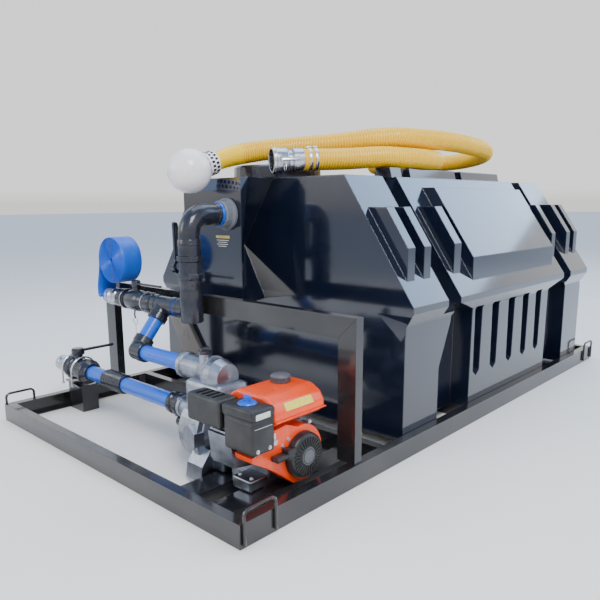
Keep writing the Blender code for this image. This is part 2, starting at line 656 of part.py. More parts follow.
def suction_line():
    """From the suction port on the left rail to the pump's inlet."""
    y, z = PUMP_Y, SUCTION_Z
    post_right = -0.622
    post = box("valve_bracket", (-FLANGE_TIP_X + GAP, y - 0.040, 0.0), (post_right, y + 0.040, 0.1195))
    plate = outline_prism("plate", [(-0.800, y - 0.030), (post_right, y - 0.052), (post_right, y + 0.052),
                                    (-0.800, y + 0.030)], 0.118, 0.124, "Z")
    combined(post, "black_steel", join=[plate])

    valve_left, valve_right = -0.792, -0.583
    cx = SUCTION_VALVE_X
    profile = [(0.0, 0.0), (0.040, 0.0), (0.044, 0.004), (0.044, 0.024), (0.056, 0.034),
               (0.056, 0.066), (0.049, 0.072), (0.049, 0.142), (0.056, 0.148), (0.056, 0.182),
               (0.046, 0.196), (0.042, 0.209), (0.0, 0.209)]
    body = turned("suction_valve", profile, (valve_left, y, z), (1, 0, 0), None, 24)
    stem = rod("suction_stem", (cx, y, z + 0.020), (cx, y, z + 0.068), 0.020, None, 20)
    combined(body, "fitting_black", join=[stem])
    valve_lever("suction_valve_lever", cx, y, z + 0.068 + GAP, 0.030, 0.0, 0.185, 0.010)

    for number, x in enumerate((-0.757, -0.6685)):
        r = 0.0612
        loop = [(x, y + a, z + b) for a, b in arc((0, 0), r, 0, 180, 13)]
        path = [(x, y + r, 0.1245)] + loop + [(x, y - r, 0.1245)]
        tube(f"u_bolt_{('outer', 'inner')[number]}", path, 0.004, "zinc", 1)

    adapter = [(0.0, 0.0), (0.036, 0.0), (0.036, 0.018), (0.040, 0.020), (0.040, 0.034),
               (0.032, 0.038), (0.032, 0.052), (0.037, 0.058), (0.037, 0.084), (0.031, 0.086),
               (0.026, 0.080), (0.026, 0.030), (0.0, 0.030)]
    turned("suction_port", adapter, (valve_left - GAP, y, z), (-1, 0, 0), "aluminium", 24)

    r = SUCTION_PIPE_R
    first_end = -0.455
    coupling_end = -0.300
    pipe_end = 0.040
    rod("suction_pipe_outer", (valve_right + GAP, y, z), (first_end, y, z), r, "pipe_blue")
    sleeve = [(0.0, 0.0), (0.040, 0.0)]
    length = coupling_end - first_end - 2 * GAP
    ribs = 3
    for i in range(ribs):
        at = 0.010 + i * (length - 0.020) / ribs
        sleeve += [(0.040, at), (0.043, at + 0.004), (0.043, at + 0.026), (0.040, at + 0.030)]
    sleeve += [(0.040, length), (0.0, length)]
    turned("suction_coupling", sleeve, (first_end + GAP, y, z), (1, 0, 0), "fitting_black", 24)
    rod("suction_pipe_inner", (coupling_end, y, z), (pipe_end, y, z), r, "pipe_blue")
    union = [(0.0, 0.0), (0.044, 0.0), (0.044, 0.020), (0.038, 0.023), (0.038, 0.040),
             (0.047, 0.044), (0.047, 0.068), (0.0, 0.068)]
    turned("suction_union", union, (pipe_end + GAP, y, z), (1, 0, 0), "fitting_black", 24)


# ---------------------------------------------------------------- pump


def pump():
    """The pump's casing with its outlet, the priming plug and the drain line under the inlet."""
    y, z = PUMP_Y, 0.150
    x0, x1 = 0.178, 0.455
    casing = turned("pump_casing", [
        (0.0, 0.0), (0.072, 0.0), (0.082, 0.016), (0.110, 0.042), (CASING_R, 0.062), (CASING_R, 0.170),
        (0.118, 0.186), (0.098, 0.196), (0.090, 0.212), (0.096, 0.224), (0.096, x1 - x0), (0.0, x1 - x0)],
        (x0, y, z + 0.004), (1, 0, 0), None, 28)
    inlet_x = 0.040 + 2 * GAP + 0.068
    inlet = turned("inlet", [(0.0, 0.0), (0.045, 0.0), (0.045, 0.016), (0.039, 0.019), (0.041, 0.120),
                             (0.0, 0.120)], (inlet_x, y, SUCTION_Z), (1, 0, 0), None, 24)
    chamber = box("chamber", (0.205, y - 0.070, 0.210), (0.400, y + 0.075, 0.332), None, 0.018)
    neck = turned("neck", [(0.0, 0.0), (0.050, 0.0), (0.050, 0.016), (0.043, 0.020), (0.046, 0.120),
                           (0.060, 0.170), (0.0, 0.170)], (0.126, y, OUTLET_Z), (1, 0, 0), None, 24)
    hump = turned("hump", [(0.0, 0.0), (0.060, 0.0), (0.063, 0.040), (0.050, 0.080), (0.0, 0.086)],
                  (0.290, y, OUTLET_Z - 0.008), (1, 0, 0), None, 24)
    boss = rod("boss", (0.268, y - 0.020, OUTLET_Z + 0.02), (0.268, y - 0.020, OUTLET_Z + 0.066), 0.020, None, 20)
    foot = box("foot", (0.330, y - 0.100, BEARER_H + GAP), (0.452, y + 0.090, 0.096), None, 0.008)
    toe = outline_prism("toe", [(y - 0.158, 0.018), (y - 0.100, 0.012), (y - 0.050, 0.060),
                                (y - 0.110, 0.120), (y - 0.150, 0.070)], 0.316, 0.398, "X")
    cover = rod("cover", (0.335, y - 0.060, 0.154), (0.318, y - 0.142, 0.154), 0.048, None, 6)
    space = rod("space", (0.300, CRANK_Y, CRANK_Z), (0.500, CRANK_Y, CRANK_Z), 0.066, None, 32)
    combined(casing, "aluminium", join=[inlet, chamber, neck, hump, boss, foot, toe, cover], cut=[space])

    top = OUTLET_Z + 0.066 + GAP
    plug = rod("priming_plug", (0.268, y - 0.020, top), (0.268, y - 0.020, top + 0.012), 0.022, None, 20)
    tab = box("tab", (0.262, y - 0.038, top + 0.010), (0.274, y - 0.002, top + 0.024))
    pivot(combined(plug, "fitting_black", join=[tab]), (0.268, y - 0.020, top))

    drain_z = 0.100
    drain_y = y + 0.034
    drain_end = x0 - GAP
    drain = [(0.0, 0.0), (0.030, 0.0), (0.030, 0.028), (0.027, 0.029), (0.027, 0.046), (0.031, 0.047),
             (0.031, 0.095), (0.022, 0.112), (0.022, 0.150), (0.0, 0.150)]
    turned("pump_drain", drain, (drain_end, drain_y, drain_z), (-1, 0, 0), "fitting_black", 24)

    shaft = [(0.0, 0.3045), (0.060, 0.3045), (0.060, 0.318), (0.030, 0.340), (0.0115, 0.340),
             (0.0115, 0.6345), (0.030, 0.6345), (0.030, 0.646), (0.062, 0.646), (0.062, 0.664),
             (0.0115, 0.664), (0.0115, 0.688), (0.0, 0.688)]
    pivot(turned("crankshaft", shaft, (0, CRANK_Y, CRANK_Z), (1, 0, 0), "steel", 24),
          (0.500, CRANK_Y, CRANK_Z))


# ---------------------------------------------------------------- engine


def engine():
    """The engine: block and head, shroud, recoil starter, fuel tank, air cleaner and muffler guard."""
    y, z = CRANK_Y, CRANK_Z
    block = box("engine_block", (0.4555, y - 0.085, 0.062), (0.627, y + 0.090, 0.235), None, 0.012)
    base = box("base", (0.470, y - 0.100, BEARER_H + GAP), (0.6260, y + 0.095, 0.074))
    shoe = box("shoe", (0.540, y - 0.160, BEARER_H + GAP), (0.6260, y - 0.080, 0.086), None, 0.006)
    barrel = outline_prism("barrel", [(y - 0.060, 0.110), (y - 0.060, 0.225), (y - 0.125, 0.252),
                                      (y - 0.205, 0.236), (y - 0.190, 0.130)], 0.480, 0.585, "X")
    carburettor = box("carburettor", (0.560, y - 0.138, 0.205), (0.6260, y - 0.090, 0.262))
    bore = rod("bore", (0.440, y, z), (0.650, y, z), 0.0135, None, 24)
    combined(block, "aluminium", join=[base, shoe, barrel, carburettor], cut=[bore])

    shroud = arc((y, z), 0.098, -75, 100, 20) + [
        (y - 0.070, 0.272), (y - 0.139, 0.264), (y - 0.140, 0.2155), (y - 0.222, 0.206), (y - 0.216, 0.188),
        (y - 0.150, 0.150), (y - 0.098, 0.112), (y - 0.040, 0.066)]
    case = outline_prism("fan_shroud", shroud, 0.6275, 0.7000, "X")
    fan_room = rod("fan_room", (0.600, y, z), (0.6945, y, z), 0.076, None, 32)
    air = rod("air", (0.680, y, z), (0.720, y, z), 0.050, None, 32)
    combined(case, "engine_orange", cut=[fan_room, air])

    cover = [(0.0, 0.0330), (0.030, 0.0330), (0.034, 0.0300), (0.064, 0.0300), (0.074, 0.0220),
             (0.077, 0.0), (0.070, 0.0), (0.066, 0.0200), (0.058, 0.0250), (0.0, 0.0250)]
    shell = turned("recoil_cover", cover, (0.7000 + GAP, y, z), (1, 0, 0), None, 28)
    snout = box("snout", (0.7000 + GAP, y - 0.092, z + 0.010), (0.7290, y - 0.055, z + 0.046))
    rope_way = rod("rope_way", (0.7150, y - 0.120, z + 0.0280), (0.7150, y - 0.040, z + 0.0280), 0.0045, None, 12)
    combined(shell, "engine_black", join=[snout], cut=[rope_way])

    grip_y = y - 0.092 - GAP
    grip = outline_prism("recoil_grip", [(0.7045, z + 0.020), (0.7330, z + 0.020), (0.7370, z + 0.028),
                                         (0.7330, z + 0.036), (0.7045, z + 0.036), (0.7012, z + 0.028)],
                         grip_y - 0.050, grip_y, "Y")
    rope = rod("rope", (0.7150, grip_y - 0.010, z + 0.0280), (0.7150, y - 0.058, z + 0.0280), 0.0025, None, 8)
    pivot(combined(grip, "engine_black", join=[rope]), (0.7150, grip_y, z + 0.028))

    tank_low, tank_high = 0.2775, 0.3720
    section = [(0.510, tank_low + 0.020), (0.530, tank_low), (0.700, tank_low), (0.722, tank_low + 0.020),
               (0.724, 0.322), (0.706, 0.352), (0.668, tank_high), (0.545, tank_high), (0.510, 0.350)]
    fuel = outline_prism("fuel_tank", section, y - 0.140, y + 0.090, "Y")
    inner = [(0.520, tank_low + 0.024), (0.535, tank_low + 0.006), (0.696, tank_low + 0.006),
             (0.714, tank_low + 0.024), (0.716, 0.320), (0.700, 0.345), (0.664, tank_high - 0.006),
             (0.550, tank_high - 0.006), (0.520, 0.346)]
    room = outline_prism("room", inner, y - 0.132, y + 0.082, "Y")
    filler = rod("filler", (0.588, y + 0.020, tank_high - 0.010), (0.588, y + 0.020, tank_high + 0.004), 0.024, None, 24)
    filler_hole = rod("filler_hole", (0.588, y + 0.020, tank_high - 0.030), (0.588, y + 0.020, tank_high + 0.020),
                      0.018, None, 24)
    combined(fuel, "engine_orange", join=[filler], cut=[room, filler_hole])
    cap = [(0.0, 0.0240), (0.030, 0.0240), (0.034, 0.0190), (0.034, 0.0020), (0.026, 0.0020), (0.026, 0.0060),
           (0.0, 0.0060)]
    pivot(turned("fuel_cap", cap, (0.588, y + 0.020, tank_high + GAP), (0, 0, 1), "cap_grey", 24),
          (0.588, y + 0.020, tank_high))

    low, high = (0.590, -1.330, 0.217), (0.722, -1.2385, 0.338)
    cleaner = box("air_cleaner", low, high, None, 0.012)
    lid = box("lid", (0.586, -1.334, 0.322), (0.726, -1.2385, 0.360), None, 0.012)
    combined(cleaner, "engine_black", join=[lid])
    knob_at = Vector((0.652, -1.286, 0.360 + GAP))
    knob = turned("air_cleaner_knob", [(0.0, 0.026), (0.006, 0.026), (0.008, 0.020), (0.008, 0.008), (0.026, 0.006),
                                       (0.030, 0.001), (0.0, 0.001)], knob_at, (0, 0, 1), None, 24)
    wings = box("wings", knob_at + Vector((-0.016, -0.003, 0.014)), knob_at + Vector((0.016, 0.003, 0.024)))
    pivot(combined(knob, "knob_blue", join=[wings]), knob_at)

    guard = box("muffler_guard", (0.392, -1.318, 0.258), (0.560, -1.2385, 0.352), None, 0.010)
    slots = []
    for i in range(4):
        at = 0.424 + i * 0.026
        slots.append(box(f"slot_{i}", (at, -1.305, 0.345), (at + 0.014, -1.250, 0.36)))
        slots.append(box(f"slit_{i}", (0.380, -1.305, 0.270 + i * 0.019), (0.398, -1.255, 0.279 + i * 0.019)))
    bracket = box("bracket", (0.500, -1.262, 0.2535), (0.556, -1.240, 0.262))
    combined(guard, "engine_black", join=[bracket], cut=slots)

    lever_at = Vector((0.7000 + GAP, y - 0.128, 0.232))
    lever = rod("throttle_lever", lever_at, lever_at + Vector((0.010, 0, 0)), 0.009, None, 16)
    finger = box("finger", lever_at + Vector((0.002, -0.004, 0.0)), lever_at + Vector((0.007, 0.004, 0.030)))
    pivot(combined(lever, "steel", join=[finger]), lever_at)


# ---------------------------------------------------------------- suction hose on the roof

# The route's own points, from the float, twice round the roof, to the coupler.
ROUTE = [
    (-0.128, -0.745, 1.122), (-0.118, -0.640, 1.154), (-0.070, -0.530, 1.177), (0.020, -0.450, 1.188),
    (0.120, -0.385, 1.196), (0.215, -0.300, 1.207), (0.300, -0.200, 1.224), (0.360, -0.080, 1.234),
    (0.392, 0.060, 1.236), (0.404, 0.210, 1.238), (0.405, 0.380, 1.237), (0.398, 0.530, 1.232),
]
ROUTE += [(x, y, 1.226 - 0.0133 * i) for i, (x, y) in enumerate(arc((0.080, 0.652), 0.300, 8, 88, 4))]
ROUTE += [(x, y, 1.178 - 0.0066 * i) for i, (x, y) in enumerate(arc((0.080, 0.652), 0.300, 115, 264, 6))]
ROUTE += [(x, y, 1.1445) for x, y in arc((0.120, 0.056), 0.300, 72, 0, 4)]
ROUTE += [(0.408, -0.080, 1.1445), (0.368, -0.220, 1.1445), (0.298, -0.370, 1.133), (0.200, -0.540, 1.126)]


def smooth_route(points, step):
    """Points at even steps along a smooth curve through the given points."""
    points = [Vector(p) for p in points]
    ends = [2 * points[0] - points[1], *points, 2 * points[-1] - points[-2]]
    fine = []
    for before, here, there, after in zip(ends, ends[1:], ends[2:], ends[3:]):
        for i in range(24):
            t = i / 24
            fine.append(0.5 * (2 * here + (there - before) * t
                               + (2 * before - 5 * here + 4 * there - after) * t * t
                               + (3 * here - before - 3 * there + after) * t ** 3))
    fine.append(points[-1])
    travelled = [0.0]
    for first, second in zip(fine, fine[1:]):
        travelled.append(travelled[-1] + (second - first).length)
    count = max(2, round(travelled[-1] / step))
    found, at = [], 0
    for i in range(count + 1):
        target = travelled[-1] * i / count
        while at < len(fine) - 2 and travelled[at + 1] < target:
            at += 1
        share = (target - travelled[at]) / (travelled[at + 1] - travelled[at])
        found.append(fine[at].lerp(fine[at + 1], min(1.0, share)))
    return found


def suction_hose():
    """The corrugated hose, the coupler on one end and the float on the other."""
    path = smooth_route(ROUTE, HOSE_STEP)
    tube("suction_hose", path, HOSE_R, "hose_yellow", 2)
    start, end = path[0], path[-1]
    out = (end - path[-2]).normalized()
    coupler = [(0.0, 0.0), (0.047, 0.0), (0.047, 0.045), (0.040, 0.050), (0.040, 0.062), (0.050, 0.070),
               (0.050, 0.118), (0.054, 0.122), (0.054, 0.132), (0.044, 0.132), (0.044, 0.075), (0.0, 0.075)]
    turned("hose_coupler", coupler, end + out * 0.0006, out, "aluminium", 24)
    back = (start - path[1]).normalized()
    centre = start + back * (FLOAT_CENTRE - start).length
    low = math.asin(0.035 / FLOAT_R)
    rows = 12
    neck_z = (start + back * 0.0006 - centre).dot(back)
    profile = [(0.0, neck_z), (0.035, neck_z)]
    for i in range(rows):
        angle = low + (math.pi - low) * i / rows
        profile.append((FLOAT_R * math.sin(angle), -FLOAT_R * math.cos(angle)))
    profile.append((0.0, FLOAT_R))
    turned("float_ball", profile, centre, back, "float_white", 24)


skid()
goal_post()
handles()
tank()
hatch()
riser()
delivery_line()
layflat_roll()
suction_line()
pump()
engine()
suction_hose()
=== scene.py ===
"""Finishes and fine pieces of the skid-mounted liquid waste tank with its petrol pump set.

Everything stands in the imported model's own frame, in metres: X across the skid, +Y to the far end, +Z up.
"""

import json
import math

import bmesh
import bpy
from mathutils import Matrix, Vector


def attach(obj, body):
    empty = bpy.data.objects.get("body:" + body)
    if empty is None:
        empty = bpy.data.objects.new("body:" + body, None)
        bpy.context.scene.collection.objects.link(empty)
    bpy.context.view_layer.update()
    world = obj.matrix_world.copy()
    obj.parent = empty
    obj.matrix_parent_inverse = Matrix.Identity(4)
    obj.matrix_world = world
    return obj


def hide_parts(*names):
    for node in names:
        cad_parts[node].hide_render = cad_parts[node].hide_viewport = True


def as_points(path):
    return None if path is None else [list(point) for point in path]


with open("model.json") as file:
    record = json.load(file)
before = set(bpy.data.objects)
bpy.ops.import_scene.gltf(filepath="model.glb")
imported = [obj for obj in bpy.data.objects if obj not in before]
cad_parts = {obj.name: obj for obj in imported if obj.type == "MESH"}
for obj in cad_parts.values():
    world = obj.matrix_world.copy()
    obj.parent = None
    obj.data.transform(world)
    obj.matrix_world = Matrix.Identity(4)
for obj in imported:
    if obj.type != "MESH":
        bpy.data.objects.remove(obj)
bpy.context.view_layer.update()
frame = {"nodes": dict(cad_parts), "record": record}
NODES = frame["nodes"]
BODY = {node: body for body, nodes in frame["record"]["behaviour"]["bodies"].items() for node in nodes}
SLOT = {entry["node"]: entry["material_slot"] for entry in frame["record"]["subparts"]}
X, Y, Z = Vector((1, 0, 0)), Vector((0, 1, 0)), Vector((0, 0, 1))

RISER_X = -0.012
DELIVERY_Y, DELIVERY_Z = -0.974, 0.528
SUCTION_Y, SUCTION_Z = -1.118, 0.188
OUTLET_Z = 0.357
CRANK_Y, CRANK_Z = -1.0974, 0.154
ENGINE_FACE_X = 0.7003


# ---------------------------------------------------------------- camera, light and floor


def camera():
    """A level-headed view over the pump end's right corner, looking a little down."""
    yaw, pitch, roll = -0.74877, 0.19402, -0.0057
    ahead = Vector((math.sin(yaw) * math.cos(pitch), math.cos(yaw) * math.cos(pitch), -math.sin(pitch)))
    right = Vector((math.cos(yaw), -math.sin(yaw), 0.0))
    up = right.cross(ahead)
    right, up = (right * math.cos(roll) + up * math.sin(roll), up * math.cos(roll) - right * math.sin(roll))
    data = bpy.data.cameras.new("camera")
    data.sensor_width = 36.0
    data.lens = 36.716
    data.shift_x = 0.0044
    data.shift_y = 0.0391
    data.clip_end = 200.0
    obj = bpy.data.objects.new("camera", data)
    bpy.context.scene.collection.objects.link(obj)
    place = Matrix((right, up, -ahead)).transposed().to_4x4()
    place.translation = (1.961, -2.471, 0.950)
    obj.matrix_world = place
    bpy.context.scene.camera = obj


def area_light(name, at, towards, size, power, colour=(1.0, 1.0, 1.0)):
    """A soft lamp at one place, facing another."""
    data = bpy.data.lights.new(name, "AREA")
    data.shape = "RECTANGLE"
    data.size, data.size_y = size
    data.energy = power
    data.color = colour
    obj = bpy.data.objects.new(name, data)
    bpy.context.scene.collection.objects.link(obj)
    obj.location = at
    obj.rotation_mode = "QUATERNION"
    obj.rotation_quaternion = (Vector(towards) - Vector(at)).to_track_quat("-Z", "Y")


def studio():
    """A pale sky that turns blue overhead, four soft lamps and a plain floor."""
    world = bpy.data.worlds.new("sky")
    bpy.context.scene.world = world
    world.use_nodes = True
    tree = world.node_tree
    back = tree.nodes["Background"]
    coord = tree.nodes.new("ShaderNodeTexCoord")
    split = tree.nodes.new("ShaderNodeSeparateXYZ")
    ramp = tree.nodes.new("ShaderNodeValToRGB")
    ramp.color_ramp.elements[0].position = 0.0
    ramp.color_ramp.elements[0].color = (0.80, 0.79, 0.77, 1.0)
    ramp.color_ramp.elements[1].position = 1.0
    ramp.color_ramp.elements[1].color = (0.34, 0.46, 0.70, 1.0)
    for position, colour in ((0.02, (1.0, 1.0, 1.0, 1.0)), (0.30, (1.0, 1.0, 1.0, 1.0)),
                             (0.50, (0.50, 0.68, 1.00, 1.0))):
        ramp.color_ramp.elements.new(position).color = colour
    tree.links.new(coord.outputs["Generated"], split.inputs[0])
    tree.links.new(split.outputs["Z"], ramp.inputs[0])
    tree.links.new(ramp.outputs[0], back.inputs["Color"])
    back.inputs["Strength"].default_value = 1.25

    area_light("key", (3.4, -2.6, 4.2), (0.2, -0.3, 0.4), (2.0, 2.0), 200, (1.0, 0.98, 0.95))
    area_light("top", (-0.8, 0.6, 5.0), (0.0, 0.2, 0.4), (4.0, 4.0), 120, (0.86, 0.93, 1.0))
    area_light("sky_panel", (3.2, 5.6, 5.0), (0.6, 0.5, 0.8), (6.0, 4.0), 260, (0.50, 0.70, 1.0))
    area_light("front", (-2.6, -4.4, 2.4), (0.0, -0.8, 0.4), (2.0, 2.0), 50)

    mesh = bpy.data.meshes.new("floor")
    mesh.from_pydata([(-60, -60, 0), (60, -60, 0), (60, 60, 0), (-60, 60, 0)], [], [(0, 1, 2, 3)])
    floor = bpy.data.objects.new("floor", mesh)
    floor.location.z = -0.0008
    bpy.context.scene.collection.objects.link(floor)
    mesh.materials.append(finish("floor_paint", (0.96, 0.90, 0.82), 0.85, spread=0.015, grain=2.0))


# ---------------------------------------------------------------- materials


def finish(name, colour, roughness, metallic=0.0, spread=0.10, grain=18.0, rough_spread=0.06, bump=0.0,
           bump_scale=220.0, coat=0.0, dust=0.0, dust_colour=(0.30, 0.27, 0.22), streak=(1, 1, 1),
           attribute=None, valley_shade=None, sheen=0.0, rounded=0.0):
    """A surface whose colour and gloss wander a little, with fine relief and a film of dust.

    `attribute` names a value on the mesh that blends the colour towards the darker colour passed with it,
    painted shade in hollows, and `rounded` softens the look of sharp edges by that radius.
    """
    made = bpy.data.materials.new(name)
    made.use_nodes = True
    tree = made.node_tree
    shader = tree.nodes["Principled BSDF"]
    shader.inputs["Metallic"].default_value = metallic
    shader.inputs["Coat Weight"].default_value = coat
    shader.inputs["Coat Roughness"].default_value = 0.08
    shader.inputs["Sheen Weight"].default_value = sheen
    link = tree.links.new
    coord = tree.nodes.new("ShaderNodeTexCoord")
    mapping = tree.nodes.new("ShaderNodeMapping")
    mapping.inputs["Scale"].default_value = streak
    link(coord.outputs["Object"], mapping.inputs["Vector"])

    def noise(scale, detail=5.0, rough=0.55):
        node = tree.nodes.new("ShaderNodeTexNoise")
        node.inputs["Scale"].default_value = scale
        node.inputs["Detail"].default_value = detail
        node.inputs["Roughness"].default_value = rough
        link(mapping.outputs[0], node.inputs["Vector"])
        return node.outputs["Fac"]

    def span(value, low, high, start=0.3, end=0.7):
        node = tree.nodes.new("ShaderNodeMapRange")
        node.inputs["From Min"].default_value = start
        node.inputs["From Max"].default_value = end
        node.inputs["To Min"].default_value = low
        node.inputs["To Max"].default_value = high
        link(value, node.inputs["Value"])
        return node.outputs[0]

    def mixed(factor, first, second):
        node = tree.nodes.new("ShaderNodeMix")
        node.data_type = "RGBA"
        link(factor, node.inputs[0])
        for socket, value in ((node.inputs[6], first), (node.inputs[7], second)):
            if isinstance(value, tuple):
                socket.default_value = (*value, 1.0)
            else:
                link(value, socket)
        return node.outputs[2]

    wander = noise(grain)
    low = tuple(c * (1 - spread) for c in colour)
    high = tuple(min(1.0, c * (1 + spread)) for c in colour)
    tone = mixed(span(wander, 0.0, 1.0), low, high)
    # Painted shade: the named value darkens the colour towards the shade colour in hollows such as the hose's
    # grooves.
    if attribute:
        read = tree.nodes.new("ShaderNodeAttribute")
        read.attribute_name = attribute
        tone = mixed(read.outputs["Fac"], tone, valley_shade)
    if dust:
        tone = mixed(span(noise(grain * 0.33, 7.0, 0.7), 0.0, dust, 0.45, 0.75), tone, dust_colour)
    link(tone, shader.inputs["Base Color"])
    link(span(noise(grain * 1.7), max(0.02, roughness - rough_spread), roughness + rough_spread),
         shader.inputs["Roughness"])
    if rounded:
        edges = tree.nodes.new("ShaderNodeBevel")
        edges.samples = 6
        edges.inputs["Radius"].default_value = rounded
        link(edges.outputs[0], shader.inputs["Normal"])
    if bump:
        relief = tree.nodes.new("ShaderNodeBump")
        if rounded:
            link(edges.outputs[0], relief.inputs["Normal"])
        relief.inputs["Strength"].default_value = 1.0
        relief.inputs["Distance"].default_value = bump
        link(noise(bump_scale, 3.0), relief.inputs["Height"])
        link(relief.outputs[0], shader.inputs["Normal"])
    return made


LOOKS = {
    "black_steel": finish("gloss_black_paint", (0.010, 0.010, 0.012), 0.20, spread=0.25, grain=9,
                          bump=0.00035, bump_scale=55, coat=0.5, dust=0.10, rounded=0.002),
    "tank_black": finish("moulded_black", (0.005, 0.008, 0.020), 0.12, spread=0.2, grain=4, rough_spread=0.04,
                         bump=0.0005, bump_scale=2.6, coat=0.9, dust=0.03, dust_colour=(0.16, 0.15, 0.15),
                         rounded=0.007),
    "fitting_black": finish("black_fitting", (0.012, 0.014, 0.024), 0.22, spread=0.25, grain=30, bump=0.00012,
                            bump_scale=420, coat=0.2, dust=0.07, rounded=0.0015),
    "fitting_grey": finish("grey_fitting", (0.13, 0.14, 0.16), 0.34, grain=30, bump=0.00012, bump_scale=420,
                           dust=0.15),
    "pipe_blue": finish("blue_pipe", (0.000, 0.115, 0.64), 0.30, spread=0.12, grain=14, bump=0.0001,
                        bump_scale=160, coat=0.3, dust=0.08, streak=(0.25, 1, 1)),
    "layflat_blue": finish("layflat_sheet", (0.000, 0.105, 0.60), 0.38, spread=0.15, grain=22, bump=0.0004,
                           bump_scale=150, sheen=0.15),
    "aluminium": finish("cast_aluminium", (0.33, 0.35, 0.40), 0.34, metallic=1.0, spread=0.2, grain=26,
                        bump=0.0005, bump_scale=300, dust=0.3, dust_colour=(0.08, 0.08, 0.08), rounded=0.003),
    "turned_aluminium": finish("turned_aluminium", (0.52, 0.53, 0.56), 0.24, metallic=1.0, spread=0.10,
                               grain=30, bump=0.00012, bump_scale=500, dust=0.15,
                               dust_colour=(0.2, 0.2, 0.2)),
    "zinc": finish("zinc_plate", (0.66, 0.67, 0.69), 0.28, metallic=1.0, spread=0.15, grain=60, bump=0.00008,
                   bump_scale=700),
    "steel": finish("bright_steel", (0.52, 0.53, 0.55), 0.26, metallic=1.0, spread=0.12, grain=60,
                    bump=0.00006, bump_scale=800),
    "engine_orange": finish("orange_enamel", (0.88, 0.060, 0.001), 0.30, spread=0.07, grain=16, bump=0.00010,
                            bump_scale=260, coat=0.2, dust=0.04, rounded=0.004),
    "engine_black": finish("engine_plastic", (0.012, 0.012, 0.013), 0.36, spread=0.25, grain=30, bump=0.00022,
                           bump_scale=900, dust=0.10, rounded=0.002),
    "cap_grey": finish("cap_plastic", (0.10, 0.10, 0.11), 0.42, grain=40, bump=0.0002, bump_scale=900),
    "knob_blue": finish("knob_plastic", (0.000, 0.10, 0.60), 0.3, grain=60, bump=0.0001, bump_scale=700),
    # The hose's grooves are painted a darker orange as shade, by their depth.
    "hose_yellow": finish("hose_vinyl", (0.97, 0.58, 0.0), 0.30, spread=0.06, grain=9, bump=0.00015,
                          bump_scale=160, dust=0.06, attribute="groove_shade", valley_shade=(0.68, 0.28, 0.0)),
    "cuff_yellow": finish("cuff_vinyl", (0.97, 0.62, 0.0), 0.32, spread=0.05, grain=20, bump=0.0001,
                          bump_scale=200),
    "float_white": finish("float_plastic", (0.88, 0.83, 0.84), 0.26, spread=0.04, grain=6, bump=0.0001,
                          bump_scale=120, coat=0.4, dust=0.10, dust_colour=(0.62, 0.66, 0.58)),
    # Near-black painted shade, put into slots and gaps that open into shadow.
    "shade_black": finish("painted_shade_gap", (0.004, 0.004, 0.004), 0.6, grain=50, bump=0.0001),
    "label_gold": finish("gold_label", (0.55, 0.42, 0.08), 0.35, spread=0.2, grain=120, bump=0.00003),
    "label_pale": finish("pale_label", (0.62, 0.62, 0.58), 0.35, spread=0.2, grain=160, bump=0.00003),
    "label_yellow": finish("yellow_label", (0.78, 0.62, 0.06), 0.35, spread=0.12, grain=120, bump=0.00003),
    # Taupe is a painted reflection on the black moulding's lit face, not the moulding's own colour.
    "reflection_taupe": finish("painted_reflection_taupe", (0.17, 0.145, 0.125), 0.32, spread=0.2, grain=7, bump=0.0004,
                    bump_scale=12),
    "webbing": finish("black_webbing", (0.016, 0.016, 0.018), 0.62, spread=0.3, grain=90, bump=0.0006,
                      bump_scale=620, sheen=0.3),
}


# ---------------------------------------------------------------- shapes


def carried_frames(points):
    """Each point with two directions across the path, which twist as little as they can along it."""
    normal = None
    for i, p in enumerate(points):
        ahead = (points[min(i + 1, len(points) - 1)] - points[max(i - 1, 0)]).normalized()
        if normal is None:
            normal = ahead.orthogonal().normalized()
        normal = (normal - ahead * normal.dot(ahead)).normalized()
        yield p, normal, ahead.cross(normal)


